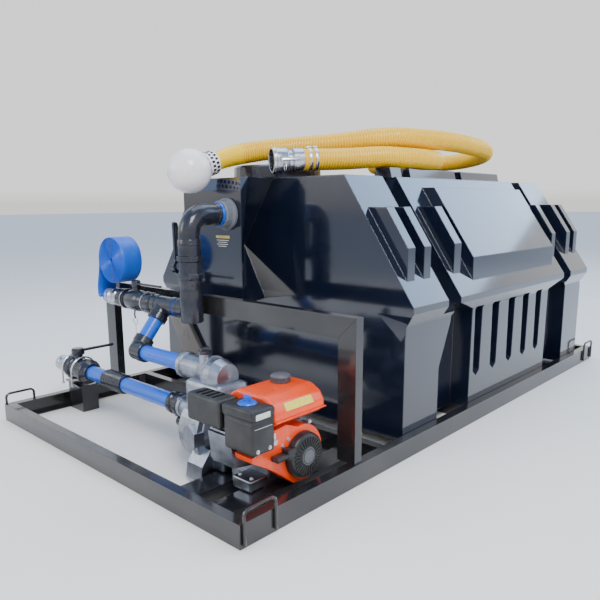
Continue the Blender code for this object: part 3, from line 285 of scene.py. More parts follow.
class Shape:
    """Gathers the faces of one piece."""

    def __init__(self):
        self.bm = bmesh.new()

    def lathe(self, profile, base, axis, steps=64):
        """Turns (radius, height) points round the axis from the base."""
        turn = Vector(axis).normalized().to_track_quat("Z", "Y").to_matrix()
        base = Vector(base)
        rings = []
        for radius, height in profile:
            count = 1 if radius < 1e-6 else steps
            rings.append([self.bm.verts.new(base + turn @ Vector((
                radius * math.cos(math.tau * i / steps), radius * math.sin(math.tau * i / steps), height)))
                for i in range(count)])
        self.join(rings)
        return self

    def join(self, rings):
        """Skins closed rings of points, where a ring of one point is a tip."""
        for first, second in zip(rings, rings[1:]):
            count = max(len(first), len(second))
            for i in range(count):
                j = (i + 1) % count
                corners = []
                for v in (first[i % len(first)], first[j % len(first)], second[j % len(second)],
                          second[i % len(second)]):
                    if v not in corners:
                        corners.append(v)
                if len(corners) > 2:
                    self.bm.faces.new(corners)

    def tube(self, points, radius, sides=12, caps=True):
        """A round bar along the points, with one radius or one for each point."""
        points = [Vector(p) for p in points]
        radii = radius if isinstance(radius, (list, tuple)) else [radius] * len(points)
        rings = []
        for r, (p, normal, other) in zip(radii, carried_frames(points)):
            rings.append([self.bm.verts.new(p + r * (normal * math.cos(math.tau * k / sides)
                                                     + other * math.sin(math.tau * k / sides)))
                          for k in range(sides)])
        self.join(rings)
        if caps:
            self.bm.faces.new(rings[0])
            self.bm.faces.new(rings[-1])
        return self

    def box(self, low, high, bevel=0.0, turn=None, segments=2):
        """A block between two corners, turned about its own middle."""
        low, high = Vector(low), Vector(high)
        made = bmesh.ops.create_cube(self.bm, size=1.0)["verts"]
        centre, size = (low + high) / 2, high - low
        for v in made:
            v.co = Vector(a * b for a, b in zip(v.co, size))
        if bevel:
            edges = {e for v in made for e in v.link_edges}
            out = bmesh.ops.bevel(self.bm, geom=list(edges), offset=bevel, segments=segments, affect="EDGES",
                                  profile=0.5)
            made = list({v for f in out["faces"] for v in f.verts} | {v for v in made if v.is_valid})
        for v in made:
            v.co = centre + (turn @ v.co if turn else v.co)
        self.last = made
        return self

    def prism(self, outline, low, high, axis):
        """An outline across the axis, drawn out between two places on it."""
        along = {"X": X, "Y": Y, "Z": Z}[axis]
        a, b = {"X": (Y, Z), "Y": (X, Z), "Z": (X, Y)}[axis]
        rings = [[self.bm.verts.new(a * u + b * v + along * h) for u, v in outline] for h in (low, high)]
        self.join(rings)
        for ring in rings:
            self.bm.faces.new(ring)
        return self

    def bolt(self, at, axis, radius=0.006, height=0.005):
        """A hexagon head with a washer under it."""
        self.lathe([(0.0, height), (radius * 0.92, height), (radius, height * 0.8), (radius, 0.0012),
                    (0.0, 0.0012)], at, axis, 6)
        self.lathe([(0.0, 0.0014), (radius * 1.35, 0.0014), (radius * 1.4, 0.0), (0.0, 0.0)], at, axis, 20)
        return self

    def done(self, name, look, slot, *nodes, body=None, angle=35):
        """Ends the piece and places it."""
        bmesh.ops.recalc_face_normals(self.bm, faces=self.bm.faces)
        mesh = bpy.data.meshes.new(name)
        self.bm.to_mesh(mesh)
        self.bm.free()
        return placed(name, mesh, look, slot, *nodes, body=body, angle=angle)


def placed(name, mesh, look, slot, *nodes, body=None, angle=35):
    """A mesh as a piece that rides on its nodes' body and, if any are named, stands for them."""
    mesh.materials.clear()
    mesh.materials.append(LOOKS[look])
    mesh.shade_smooth()
    mesh.set_sharp_from_angle(angle=math.radians(angle))
    obj = bpy.data.objects.new(name, mesh)
    bpy.context.scene.collection.objects.link(obj)
    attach(obj, body or (BODY[nodes[0]] if nodes else "frame"))
    if nodes:
        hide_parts(*nodes)
    return obj


def round_off(obj, width, segments=3, angle=20):
    """Rounds a piece's sharp edges."""
    made = obj.modifiers.new("rounded", "BEVEL")
    made.width = width
    made.segments = segments
    made.limit_method = "ANGLE"
    made.angle_limit = math.radians(angle)
    made.harden_normals = True
    return obj


def dress():
    """Every node gets its finish, also where a finer piece takes its place later."""
    for name, obj in NODES.items():
        obj.data.shade_smooth()
        obj.data.set_sharp_from_angle(angle=math.radians(35))
        if not obj.material_slots:
            obj.data.materials.append(LOOKS[SLOT[name]])
        for place in obj.material_slots:
            place.material = LOOKS[SLOT[name]]


camera()
studio()
dress()


# ---------------------------------------------------------------- suction hose on the roof


def arc(centre, radius, start_deg, end_deg, count):
    """Evenly spaced (x, y) points on an arc."""
    found = []
    for i in range(count):
        angle = math.radians(start_deg + (end_deg - start_deg) * i / (count - 1))
        found.append((centre[0] + radius * math.cos(angle), centre[1] + radius * math.sin(angle)))
    return found


FAR_TURN, NEAR_TURN, TURN_R = (0.080, 0.652), (0.120, 0.056), 0.300
PAD_LAY_Z = 1.1445  # The hose's middle where it lies on the roof's raised pads.
# From the float, up over the tower and along the roof, round at the far end and back to the coupler.
ROUTE = [
    (-0.128, -0.745, 1.122), (-0.118, -0.640, 1.154), (-0.070, -0.530, 1.177), (0.020, -0.450, 1.188),
    (0.120, -0.385, 1.196), (0.215, -0.300, 1.207), (0.300, -0.200, 1.224), (0.360, -0.080, 1.234),
    (0.392, 0.060, 1.236), (0.404, 0.210, 1.238), (0.405, 0.380, 1.237), (0.398, 0.530, 1.232),
]
ROUTE += [(x, y, 1.226 - 0.0133 * i) for i, (x, y) in enumerate(arc(FAR_TURN, TURN_R, 8, 88, 4))]
ROUTE += [(x, y, 1.178 - 0.0066 * i) for i, (x, y) in enumerate(arc(FAR_TURN, TURN_R, 115, 264, 6))]
ROUTE += [(x, y, PAD_LAY_Z) for x, y in arc(NEAR_TURN, TURN_R, 72, 0, 4)]
ROUTE += [(0.408, -0.080, PAD_LAY_Z), (0.368, -0.220, PAD_LAY_Z), (0.298, -0.370, 1.133),
          (0.200, -0.540, 1.126)]
HOSE_SIDES = 36
RIB_PITCH = 0.0118
RIB_HEIGHT = 0.0013
RIB_SHARPNESS = 1.8
RINGS_PER_RIB = 5
CUFF_R = 0.0385
CUFF_LENGTH = 0.15
FLOAT_R = 0.092
FLOAT_CENTRE = Vector((-0.149, -0.867, 1.094))
REACH_INSIDE_FLOAT = 0.1271
RINGS_INSIDE_FLOAT = 54


def smooth_route(points, step):
    """Points at even steps along a smooth curve through the given points."""
    points = [Vector(p) for p in points]
    ends = [2 * points[0] - points[1], *points, 2 * points[-1] - points[-2]]
    fine = []
    for before, here, there, after in zip(ends, ends[1:], ends[2:], ends[3:]):
        for i in range(24):
            t = i / 24
            fine.append(0.5 * (2 * here + (there - before) * t
                               + (2 * before - 5 * here + 4 * there - after) * t * t
                               + (3 * here - before - 3 * there + after) * t ** 3))
    fine.append(points[-1])
    travelled = [0.0]
    for first, second in zip(fine, fine[1:]):
        travelled.append(travelled[-1] + (second - first).length)
    count = max(2, round(travelled[-1] / step))
    found, at = [], 0
    for i in range(count + 1):
        target = travelled[-1] * i / count
        while at < len(fine) - 2 and travelled[at + 1] < target:
            at += 1
        share = (target - travelled[at]) / (travelled[at + 1] - travelled[at])
        found.append(fine[at].lerp(fine[at + 1], min(1.0, share)))
    return found, travelled[-1]


def ribbed_hose(path, total):
    """A smooth end that swells into spiral ribs, with the depth of the grooves kept to paint shade into them.
    """
    shape = Shape()
    rings, groove_shade_depth = [], []
    for i, (p, normal, other) in enumerate(carried_frames(path)):
        s = total * (i - RINGS_INSIDE_FLOAT) / (len(path) - RINGS_INSIDE_FLOAT - 1)
        swell = max(0.0, min(1.0, s / CUFF_LENGTH))
        ribbed = min(1.0, max(0.0, (s - 0.135) / 0.02))
        base = CUFF_R + 0.0052 * swell * swell * (3 - 2 * swell)
        ring = []
        for k in range(HOSE_SIDES):
            angle = math.tau * k / HOSE_SIDES
            wave = (math.tanh(RIB_SHARPNESS * math.cos(math.tau * s / RIB_PITCH + angle))
                    / math.tanh(RIB_SHARPNESS))
            r = base + ribbed * RIB_HEIGHT * wave
            ring.append(shape.bm.verts.new(p + r * (normal * math.cos(angle) + other * math.sin(angle))))
            # Painted shade: the deeper the groove, the darker its colour.
            groove_shade_depth.append(ribbed * (0.5 - 0.5 * wave) * 0.62)
        rings.append(ring)
    shape.join(rings)
    shape.bm.faces.new(rings[0])
    shape.bm.faces.new(rings[-1])
    hose = shape.done("hose_ribbed", "hose_yellow", "hose_yellow", "suction_hose", angle=80)
    groove_shade = hose.data.attributes.new("groove_shade", "FLOAT", "POINT")
    groove_shade.data.foreach_set("value", groove_shade_depth)
    return hose


def float_strainer(start, back):
    """The hollow float, with two rows of slots sunk in it at the hose's end, their walls painted near-black
    as shade.
    """
    centre = start + back * (FLOAT_CENTRE - start).length
    turn = back.to_track_quat("Z", "Y").to_matrix()
    shape = Shape()
    across, around = 60, 48
    rings = [[shape.bm.verts.new(centre - back * FLOAT_R)]]
    for j in range(1, around):
        polar = math.pi * j / around
        rings.append([shape.bm.verts.new(centre + turn @ (FLOAT_R * Vector((
            math.sin(polar) * math.cos(math.tau * i / across),
            math.sin(polar) * math.sin(math.tau * i / across), -math.cos(polar))))) for i in range(across)])
    rings.append([shape.bm.verts.new(centre + back * FLOAT_R)])
    shape.join(rings)
    slots = []
    for face in shape.bm.faces:
        local = turn.transposed() @ (face.calc_center_median() - centre)
        polar = math.acos(max(-1.0, min(1.0, -local.z / local.length)))
        row = polar / math.pi * around
        column = (math.atan2(local.y, local.x) / math.tau * across) % 4
        if (8 <= row < 10 or 11.0 <= row < 13) and column < 2:
            slots.append(face)
    sunk = bmesh.ops.extrude_face_region(shape.bm, geom=slots)["geom"]
    inner = {v for v in sunk if isinstance(v, bmesh.types.BMVert)}
    for v in inner:
        v.co = centre + (v.co - centre) * 0.93
    bmesh.ops.delete(shape.bm, geom=slots, context="FACES")
    # The slots' walls take the near-black finish: painted shade in the openings.
    for face in shape.bm.faces:
        if sum(v in inner for v in face.verts) >= 2:
            face.material_index = 1
    shape.bm.normal_update()
    mesh = bpy.data.meshes.new("float_strainer")
    shape.bm.to_mesh(mesh)
    shape.bm.free()
    indices = [p.material_index for p in mesh.polygons]
    ball = placed("float_strainer", mesh, "float_white", "float_white", "float_ball")
    mesh.materials.append(LOOKS["shade_black"])
    mesh.polygons.foreach_set("material_index", indices)
    return ball


def strainer_collar(start, back):
    """The hose's cuff, the strainer's collar between the float and the cuff, and the collar's slots as
    near-black patches of painted shade.
    """
    cuff = Shape().lathe([(0.030, -0.004), (0.045, -0.004), (0.0475, 0.0), (0.0475, 0.012), (0.044, 0.016),
                          (0.041, 0.026), (0.030, 0.026)], start + back * 0.006, -back, 48)
    cuff = cuff.done("hose_cuff", "cuff_yellow", "hose_yellow")
    collar = Shape().lathe([(0.0380, -0.002), (0.0495, -0.002), (0.0505, 0.0), (0.0505, 0.046),
                            (0.0400, 0.050)],
                           start, back, 64)
    collar = collar.done("strainer_collar", "float_white", "float_white")
    # Near-black boxes on the collar: painted shade where the slots open.
    slot_shade = Shape()
    turn = back.to_track_quat("Z", "Y").to_matrix()
    half_slot = Vector((0.0012, 0.0050, 0.0068))
    slots_in_row = 18
    for row in range(2):
        for i in range(slots_in_row):
            spin = turn @ Matrix.Rotation(math.tau * (i + 0.5 * row) / slots_in_row, 3, "Z")
            middle = start + back * (0.011 + 0.020 * row) + spin @ Vector((0.0497, 0, 0))
            slot_shade.box(middle - half_slot, middle + half_slot, 0.0, spin)
    return [cuff, collar, slot_shade.done("strainer_slot_shade", "shade_black", "float_white")]


def coupler(end, out):
    """The cast coupler with its two ears, the hose's clamps and the ring that hangs from an ear."""
    base = end + out * 0.0006
    metal = Shape()
    metal.lathe([(0.0, 0.0), (0.0455, 0.0), (0.047, 0.002), (0.047, 0.043), (0.044, 0.046), (0.040, 0.050),
                 (0.040, 0.062), (0.048, 0.068), (0.050, 0.072), (0.050, 0.116), (0.054, 0.120),
                 (0.054, 0.131), (0.052, 0.132), (0.0455, 0.132), (0.044, 0.130), (0.044, 0.075),
                 (0.030, 0.075), (0.028, 0.060), (0.0, 0.060)], base, out, 72)
    side = out.cross(Z).normalized()
    for sign in (1, -1):
        at = base + out * 0.100 + side * sign * 0.050
        metal.tube([at - Z * 0.012, at + Z * 0.012], 0.006, 12)
        metal.tube([at + side * sign * 0.002, at - out * 0.030 + side * sign * 0.0085,
                    at - out * 0.070 + side * sign * 0.006], [0.0065, 0.0055, 0.0040], 10)
    metal = metal.done("coupler_cast", "turned_aluminium", "aluminium", "hose_coupler")
    clamp = Shape()
    half_lug = Vector((0.009, 0.008, 0.005))
    for back_off in (0.022, 0.048):
        clamp.lathe([(0.0445, 0.0), (0.0470, 0.0), (0.0474, 0.002), (0.0474, 0.010), (0.0470, 0.012),
                     (0.0445, 0.012)], end - out * back_off, -out, 64)
        lug = end - out * (back_off + 0.006) + Z * 0.0495
        clamp.box(lug - half_lug, lug + half_lug, 0.002)
    clamp = clamp.done("hose_clamps", "zinc", "zinc")
    ring = Shape()
    hang = base + out * 0.090 - side * 0.062 - Z * 0.030
    ring.tube([hang + 0.016 * (side * math.cos(a * math.tau / 24) + Z * math.sin(a * math.tau / 24))
               for a in range(25)], 0.0016, 8, caps=False)
    return [metal, clamp, ring.done("coupler_ring", "zinc", "zinc")]


def suction_hose():
    """The ribbed hose on the roof, with the float and strainer on one end and the coupler on the other."""
    coarse, _ = smooth_route(ROUTE, 0.075)
    path, total = smooth_route(ROUTE, RIB_PITCH / RINGS_PER_RIB)
    # The hose's end runs on inside the float, as far as its middle.
    into_float = (path[0] - path[1]).normalized()
    path = [path[0] + into_float * (REACH_INSIDE_FLOAT * i / RINGS_INSIDE_FLOAT)
            for i in range(RINGS_INSIDE_FLOAT, 0, -1)] + path
    hose = ribbed_hose(path, total)
    start, end = coarse[0], coarse[-1]
    back = (start - coarse[1]).normalized()
    out = (end - coarse[-2]).normalized()
    ball = float_strainer(start, back)
    collar = strainer_collar(start, back)
    pieces = coupler(end, out) + [ball] + collar + [NODES["hose_coupler"], NODES["float_ball"]]
    tuple(path[-1])
    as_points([tuple(p) for p in path[::5]] + [tuple(path[-1])])


suction_hose()


# ---------------------------------------------------------------- pipework


def collar_ring(shape, base, axis, radius, length, ribs=12, height=0.0022):
    """A union nut: a turned band with raised grips round it."""
    axis = Vector(axis).normalized()
    shape.lathe([(radius - 0.004, 0.0), (radius, 0.002), (radius, length - 0.002), (radius - 0.004, length)],
                base, axis, 64)
    turn = axis.to_track_quat("Z", "Y").to_matrix()
    for i in range(ribs):
        spin = turn @ Matrix.Rotation(math.tau * i / ribs, 3, "Z")
        middle = Vector(base) + axis * (length / 2)
        shape.box(middle - Vector((height + 0.002, 0.0022, length * 0.42)),
                  middle + Vector((height + 0.002, 0.0022, length * 0.42)), 0.0008, spin, 1)
        moved = spin @ Vector((radius - 0.002, 0, 0))
        for v in shape.last:
            v.co += moved
    return shape


def riser():
    """The elbow, the valve and the foot of the delivery riser, with blue rings where its pipe shows."""
    x, y, top = RISER_X, DELIVERY_Y, 0.907
    end = -0.8206
    shape = Shape()
    bend = [(x, y + 0.075 - 0.075 * math.cos(math.radians(a)),
             top - 0.075 + 0.075 * math.sin(math.radians(a)))
            for a in range(0, 91, 6)]
    shape.tube([(x, y, 0.748)] + bend + [(x, end, top)], 0.0432, 48)
    shape.lathe([(0.0, 0.0), (0.046, 0.0), (0.0462, 0.004), (0.046, 0.060), (0.0445, 0.064), (0.043, 0.064)],
                (x, y, 0.7483), Z, 64)
    shape.lathe([(0.0430, 0.0), (0.0465, 0.001), (0.0470, 0.006), (0.0470, 0.025)], (x, end - 0.026, top),
                Y, 64)
    shape.lathe([(0.0458, 0.0), (0.0474, 0.001), (0.0474, 0.005), (0.0458, 0.006)], (x, y, 0.790), Z, 64)
    shape.done("elbow_fine", "fitting_black", "fitting_black", "riser_elbow")
    ring = Shape().lathe([(0.044, 0.0), (0.0490, 0.0), (0.0490, 0.013), (0.044, 0.013)],
                         (x, end - 0.0135, top), Y, 64)
    ring.lathe([(0.0385, 0.0), (0.0418, 0.0005), (0.0418, 0.0120), (0.0385, 0.0125)],
               (-0.1018, y, DELIVERY_Z), X, 64)
    ring.done("blue_rings", "pipe_blue", "pipe_blue")
    flange = Shape().lathe([(0.0, 0.0), (0.064, 0.0), (0.066, 0.002), (0.066, 0.012), (0.064, 0.014),
                            (0.058, 0.018), (0.0565, 0.024), (0.0545, 0.048), (0.053, 0.050), (0.0, 0.050)],
                           (x, -0.7703, top), -Y, 64)
    collar_ring(flange, (x, -0.790, top), -Y, 0.0562, 0.026, 16, 0.0016)
    flange.done("bulkhead_fine", "fitting_grey", "fitting_grey", "bulkhead_fitting")
    valve = Shape().lathe([(0.0, 0.0), (0.050, 0.0), (0.051, 0.002), (0.051, 0.020), (0.047, 0.024),
                           (0.047, 0.068), (0.051, 0.072), (0.051, 0.0915), (0.050, 0.0925), (0.0, 0.0925)],
                           (x, y, 0.6550), Z, 64)
    collar_ring(valve, (x, y, 0.657), Z, 0.0505, 0.018, 14, 0.0012)
    collar_ring(valve, (x, y, 0.728), Z, 0.0505, 0.018, 14, 0.0012)
    valve.lathe([(0.021, 0.0), (0.021, 0.050), (0.0, 0.050)], (x - 0.020, y, 0.701), -X, 40)
    valve.done("riser_valve_fine", "fitting_black", "fitting_black", "riser_valve")
    hub = x - 0.0703
    lever = Shape().lathe([(0.0, 0.0), (0.027, 0.0), (0.030, 0.003), (0.030, 0.024), (0.026, 0.029),
                           (0.010, 0.030), (0.0, 0.030)], (hub, y, 0.701), -X, 48)
    lever.prism([(y - 0.013, 0.706), (y + 0.013, 0.706), (y + 0.011, 0.780), (y + 0.0095, 0.868),
                 (y + 0.004, 0.877), (y - 0.010, 0.879), (y - 0.014, 0.872), (y - 0.012, 0.780)],
                 hub - 0.0235, hub - 0.0105, "X")
    lever.prism([(y - 0.004, 0.735), (y + 0.004, 0.735), (y + 0.003, 0.860), (y - 0.005, 0.860)],
                hub - 0.0262, hub - 0.0080, "X")
    round_off(lever.done("riser_lever_fine", "fitting_black", "fitting_black", "riser_valve_lever"), 0.002)
    foot = Shape().lathe([(0.0, 0.0), (0.040, 0.0), (0.046, 0.004), (0.047, 0.012), (0.047, 0.120),
                          (0.0455, 0.126), (0.0455, 0.152), (0.047, 0.158), (0.047, 0.1762), (0.0, 0.1762)],
                          (x, y, 0.4783), Z, 64)
    foot.lathe([(0.040, 0.0), (0.040, 0.060), (0.0418, 0.062), (0.0418, 0.0895), (0.0, 0.0895)],
               (x, y, DELIVERY_Z), -X, 64)
    foot.done("riser_foot_fine", "fitting_black", SLOT["riser_foot"], "riser_foot")


def lever_arm(name, node, at, hub_r, reach, thickness):
    """A round hub and a ribbed flat arm."""
    at = Vector(at)
    shape = Shape().lathe([(0.0, 0.0), (hub_r - 0.001, 0.0), (hub_r, 0.003), (hub_r, 0.024),
                           (hub_r * 0.82, 0.0295), (0.0, 0.030)], at, Z, 40)
    along = Vector(reach).normalized()
    across = Z.cross(along)
    tip = at + Vector(reach)
    for wide, low, high in ((1.0, 0.0122, 0.0118 + thickness), (0.30, 0.0110, 0.0130 + thickness)):
        corners = [at + across * 0.0125 * wide, tip + across * 0.0085 * wide - along * 0.004,
                   tip + across * 0.004 * wide, tip - across * 0.004 * wide,
                   tip - across * 0.0085 * wide - along * 0.004, at - across * 0.0125 * wide]
        shape.prism([(c.x, c.y) for c in corners], at.z + low, at.z + high, "Z")
    round_off(shape.done(name, "fitting_black", "fitting_black", node), 0.0012)


def delivery_line():
    """The tee, the hose valve and its coupler, the link's elbow and the pipes."""
    y, z = DELIVERY_Y, DELIVERY_Z
    right, left = -0.1023, -0.262
    high, low = Vector((-0.198, y, z)), Vector((-0.198, SUCTION_Y, OUTLET_Z))
    down = (low - high).normalized()
    tee = Shape().lathe([(0.0, 0.0), (0.039, 0.0), (0.0415, 0.003), (0.0415, 0.030), (0.0385, 0.034),
                         (0.0385, 0.125), (0.0415, 0.129), (0.0415, right - left - 0.003),
                         (0.039, right - left - 0.0005), (0.0, right - left - 0.0005)], (right, y, z), -X, 64)
    tee.lathe([(0.037, 0.0), (0.037, 0.044), (0.0405, 0.047), (0.0405, 0.073), (0.038, 0.0748),
               (0.0, 0.0748)],
              high, down, 64)
    tee.done("tee_fine", "fitting_black", "fitting_black", "manifold_tee")
    elbow = Shape().lathe([(0.0, 0.0), (0.038, 0.0), (0.0405, 0.002), (0.0405, 0.030), (0.0375, 0.034),
                           (0.0375, 0.070)], low - down * 0.062, down, 64)
    elbow.lathe([(0.0375, -0.010), (0.0375, 0.028), (0.0405, 0.032), (0.0405, 0.060), (0.038, 0.0618),
                 (0.0, 0.0618)], low, X, 64)
    elbow.lathe([(0.0, -0.0375)] + [(0.0375 * math.sin(math.radians(a)), -0.0375 * math.cos(math.radians(a)))
                                    for a in range(10, 180, 10)] + [(0.0, 0.0375)], low, X, 48)
    elbow.done("outlet_elbow_fine", "fitting_black", "fitting_black", "outlet_elbow")
    for name, node, start, end, radius in (
        ("link_pipe_fine", "link_pipe", high + down * 0.0753, low - down * 0.0623, 0.031),
        ("outlet_pipe_fine", "outlet_pipe", Vector((-0.1357, SUCTION_Y, OUTLET_Z)),
         Vector((0.123, SUCTION_Y, OUTLET_Z)), 0.031),
        ("suction_pipe_a", "suction_pipe_outer", Vector((-0.5827, SUCTION_Y, SUCTION_Z)),
         Vector((-0.455, SUCTION_Y, SUCTION_Z)), 0.033),
        ("suction_pipe_b", "suction_pipe_inner", Vector((-0.300, SUCTION_Y, SUCTION_Z)),
         Vector((0.040, SUCTION_Y, SUCTION_Z)), 0.033),
    ):
        length = (end - start).length
        pipe = Shape().lathe([(0.0, 0.0), (radius, 0.0), (radius, length), (0.0, length)],
                             start, end - start, 72)
        pipe.done(name, "pipe_blue", "pipe_blue", node)

    start = left - 0.0003
    length = start + 0.530
    valve = Shape().lathe([(0.0, 0.0), (0.041, 0.0), (0.045, 0.006), (0.045, 0.050), (0.037, 0.064),
                           (0.037, 0.084), (0.042, 0.094), (0.0455, 0.106), (0.0475, 0.128), (0.0475, 0.150),
                           (0.045, 0.180), (0.041, 0.196), (0.037, 0.206), (0.037, 0.216), (0.043, 0.224),
                           (0.043, length - 0.002), (0.041, length), (0.0, length)], (start, y, z), -X, 72)
    collar_ring(valve, (start - 0.008, y, z), -X, 0.0452, 0.040, 14, 0.0015)
    collar_ring(valve, (start - 0.226, y, z), -X, 0.0432, 0.034, 14, 0.0015)
    valve.lathe([(0.016, 0.0), (0.016, 0.040), (0.0, 0.040)], (-0.411, y, z + 0.020), Z, 40)
    valve.done("delivery_valve_fine", "fitting_black", "fitting_black", "delivery_valve")
    band = Shape().lathe([(0.0455, 0.0), (0.0480, 0.0002), (0.0480, 0.0045), (0.0455, 0.0048)],
                         (start - 0.052, y, z), -X, 64)
    band.lathe([(0.0440, 0.0), (0.0458, 0.0002), (0.0458, 0.0035), (0.0440, 0.0038)], (start - 0.2195, y, z),
               -X, 64)
    band.done("valve_bands", "zinc", "zinc")
    lever_arm("delivery_lever_fine", "delivery_valve_lever", (-0.411, y, z + 0.0603), 0.020, (0.190, 0, 0),
              0.007)

    coupler = Shape().lathe([(0.0, 0.0), (0.034, 0.0), (0.034, 0.012), (0.0375, 0.0145), (0.040, 0.017),
                             (0.040, 0.032), (0.0385, 0.035), (0.0385, 0.055), (0.040, 0.058), (0.040, 0.072),
                             (0.033, 0.076), (0.0315, 0.084), (0.033, 0.088), (0.030, 0.096), (0.0315, 0.100),
                             (0.028, 0.1117), (0.0, 0.1117)], (-0.5303, y, z), -X, 72)
    coupler.done("delivery_coupler_fine", "turned_aluminium", "aluminium", "delivery_coupler")

    loop = Shape()
    loop.tube([(-0.430, y, 0.484), (-0.431, y - 0.003, 0.462), (-0.429, y - 0.001, 0.444)], 0.0035, 8)
    loop.done("valve_strap", "webbing", "fitting_black")
    ring = Shape()
    centre = Vector((-0.429, y - 0.001, 0.428))
    ring.tube([centre + Vector((0.0155 * math.cos(math.tau * a / 28), 0.003 * math.sin(math.tau * a / 14),
                                0.0165 * math.sin(math.tau * a / 28))) for a in range(29)],
                                0.0013, 8, caps=False)
    ring.tube([centre + Vector((0, 0, -0.0150)), centre + Vector((0.004, -0.002, -0.034)),
               centre + Vector((0.001, 0.0, -0.060))], 0.0011, 6)
    ring.done("split_ring", "steel", "steel")


def layflat_roll():
    """The flat hose wound on itself, with the tail that runs down and over the coupler's spigot."""
    y0, cx, cz = DELIVERY_Y, -0.529, 0.702
    half = 0.0485
    pitch, inner = 0.0062, 0.012
    turns = (0.1040 - inner) / pitch
    end_angle = math.radians(184)
    steps = int(turns * 44)
    line = []
    for i in range(steps + 1):
        swept = turns * math.tau * i / steps
        angle = end_angle - (turns * math.tau - swept)
        r = inner + pitch * swept / math.tau
        line.append(Vector((cx + r * math.cos(angle), 0, cz + r * math.sin(angle))))
    tail = [line[-1], Vector((-0.638, 0, 0.655)), Vector((-0.648, 0, 0.618)), Vector((-0.6575, 0, 0.585)),
            Vector((-0.6600, 0, 0.555)), Vector((-0.6560, 0, 0.532)), Vector((-0.648, 0, 0.526))]
    tail, _ = smooth_route(tail, 0.006)
    outline = [(-half, 0.0), (-half + 0.003, 0.0022), (-0.030, 0.0024), (-0.008, 0.0020), (0.012, 0.0023),
               (0.030, 0.0024), (half - 0.003, 0.0022), (half, 0.0), (half - 0.003, -0.0022), (0.0, -0.0020),
               (-half + 0.003, -0.0022)]
    shape = Shape()
    rings = []
    whole = line[:-1] + tail
    for i, p in enumerate(whole):
        ahead = (whole[min(i + 1, len(whole) - 1)] - whole[max(i - 1, 0)]).normalized()
        off = Vector((ahead.z, 0, -ahead.x))
        wrinkle = 0.0004 * math.sin(i * 0.9) + 0.0003 * math.sin(i * 0.37 + 1.0)
        rings.append([shape.bm.verts.new(Vector((p.x, y0 + u, p.z)) + off * (w + wrinkle * math.sin(u * 90)))
                      for u, w in outline])
    shape.join(rings)
    shape.bm.faces.new(rings[0])
    shape.bm.faces.new(rings[-1])
    shape.lathe([(0.0330, 0.0), (0.0350, 0.002), (0.0355, 0.020), (0.0345, 0.034), (0.0300, 0.038),
                 (0.0, 0.0385)],
                (-0.612, y0, DELIVERY_Z), -X, 48)
    shape.done("layflat_wound", "layflat_blue", "layflat_blue", "layflat_roll", angle=60)
    clamp = Shape().lathe([(0.0345, 0.0), (0.0372, 0.0004), (0.0372, 0.010), (0.0345, 0.0105)],
                          (-0.617, y0, DELIVERY_Z), -X, 48)
    clamp.done("layflat_clamp", "zinc", "zinc")


def suction_line():
    """The valve on its bracket, the couplings and the port."""
    y, z = SUCTION_Y, SUCTION_Z
    valve = Shape().lathe([(0.0, 0.0), (0.040, 0.0), (0.044, 0.004), (0.044, 0.024), (0.054, 0.032),
                           (0.056, 0.035), (0.056, 0.065), (0.054, 0.069), (0.049, 0.072), (0.049, 0.142),
                           (0.054, 0.146), (0.056, 0.149), (0.056, 0.181), (0.054, 0.185), (0.046, 0.196),
                           (0.042, 0.209), (0.0, 0.209)], (-0.792, y, z), X, 72)
    collar_ring(valve, (-0.755, y, z), X, 0.0565, 0.026, 16, 0.0014)
    collar_ring(valve, (-0.640, y, z), X, 0.0565, 0.026, 16, 0.0014)
    valve.lathe([(0.020, 0.0), (0.020, 0.048), (0.0, 0.048)], (-0.711, y, z + 0.020), Z, 40)
    valve.done("suction_valve_fine", "fitting_black", "fitting_black", "suction_valve")
    lever_arm("suction_lever_fine", "suction_valve_lever", (-0.711, y, z + 0.0683), 0.030, (0, 0.185, 0),
              0.010)
    port = Shape().lathe([(0.0, 0.0), (0.036, 0.0), (0.036, 0.018), (0.040, 0.020), (0.040, 0.034),
                          (0.034, 0.037), (0.032, 0.040), (0.032, 0.052), (0.0355, 0.056), (0.037, 0.060),
                          (0.037, 0.083), (0.0355, 0.086), (0.031, 0.086), (0.026, 0.080), (0.026, 0.030),
                          (0.0, 0.030)],
                         (-0.7923, y, z), -X, 72)
    port.done("suction_port_fine", "turned_aluminium", "aluminium", "suction_port")
    length = 0.1544
    rings = [(0.0, 0.0), (0.0385, 0.0), (0.040, 0.002)]
    for i in range(9):
        at = 0.008 + i * 0.0155
        rings += [(0.040, at), (0.0428, at + 0.0025), (0.0428, at + 0.0095), (0.040, at + 0.012)]
    rings += [(0.040, length - 0.002), (0.0385, length), (0.0, length)]
    coupling = Shape().lathe(rings, (-0.4547, y, z), X, 72)
    coupling.done("coupling_fine", "fitting_black", "fitting_black", "suction_coupling")
    union = Shape().lathe([(0.0, 0.0), (0.042, 0.0), (0.044, 0.002), (0.044, 0.018), (0.038, 0.023),
                           (0.038, 0.040), (0.0455, 0.044), (0.047, 0.046), (0.047, 0.066), (0.045, 0.068),
                           (0.0, 0.068)],
                          (0.0403, y, z), X, 72)
    collar_ring(union, (0.0845, y, z), X, 0.0472, 0.022, 14, 0.0014)
    union.done("union_fine", "fitting_black", "fitting_black", "suction_union")
    drain_y, drain_z = -1.084, 0.100
    drain = Shape().lathe([(0.0, 0.0), (0.030, 0.0), (0.031, 0.002), (0.031, 0.026), (0.027, 0.029),
                           (0.027, 0.046), (0.031, 0.048), (0.031, 0.093), (0.022, 0.112), (0.022, 0.148),
                           (0.0205, 0.150), (0.0, 0.150)], (0.1777, drain_y, drain_z), -X, 56)
    drain.done("drain_fine", "fitting_black", "fitting_black", "pump_drain")
    ring = Shape().lathe([(0.0265, 0.0), (0.0285, 0.0005), (0.0285, 0.0165), (0.0265, 0.017)],
                         (0.1487, drain_y, drain_z), -X, 48)
    ring.done("drain_ring", "pipe_blue", "pipe_blue")


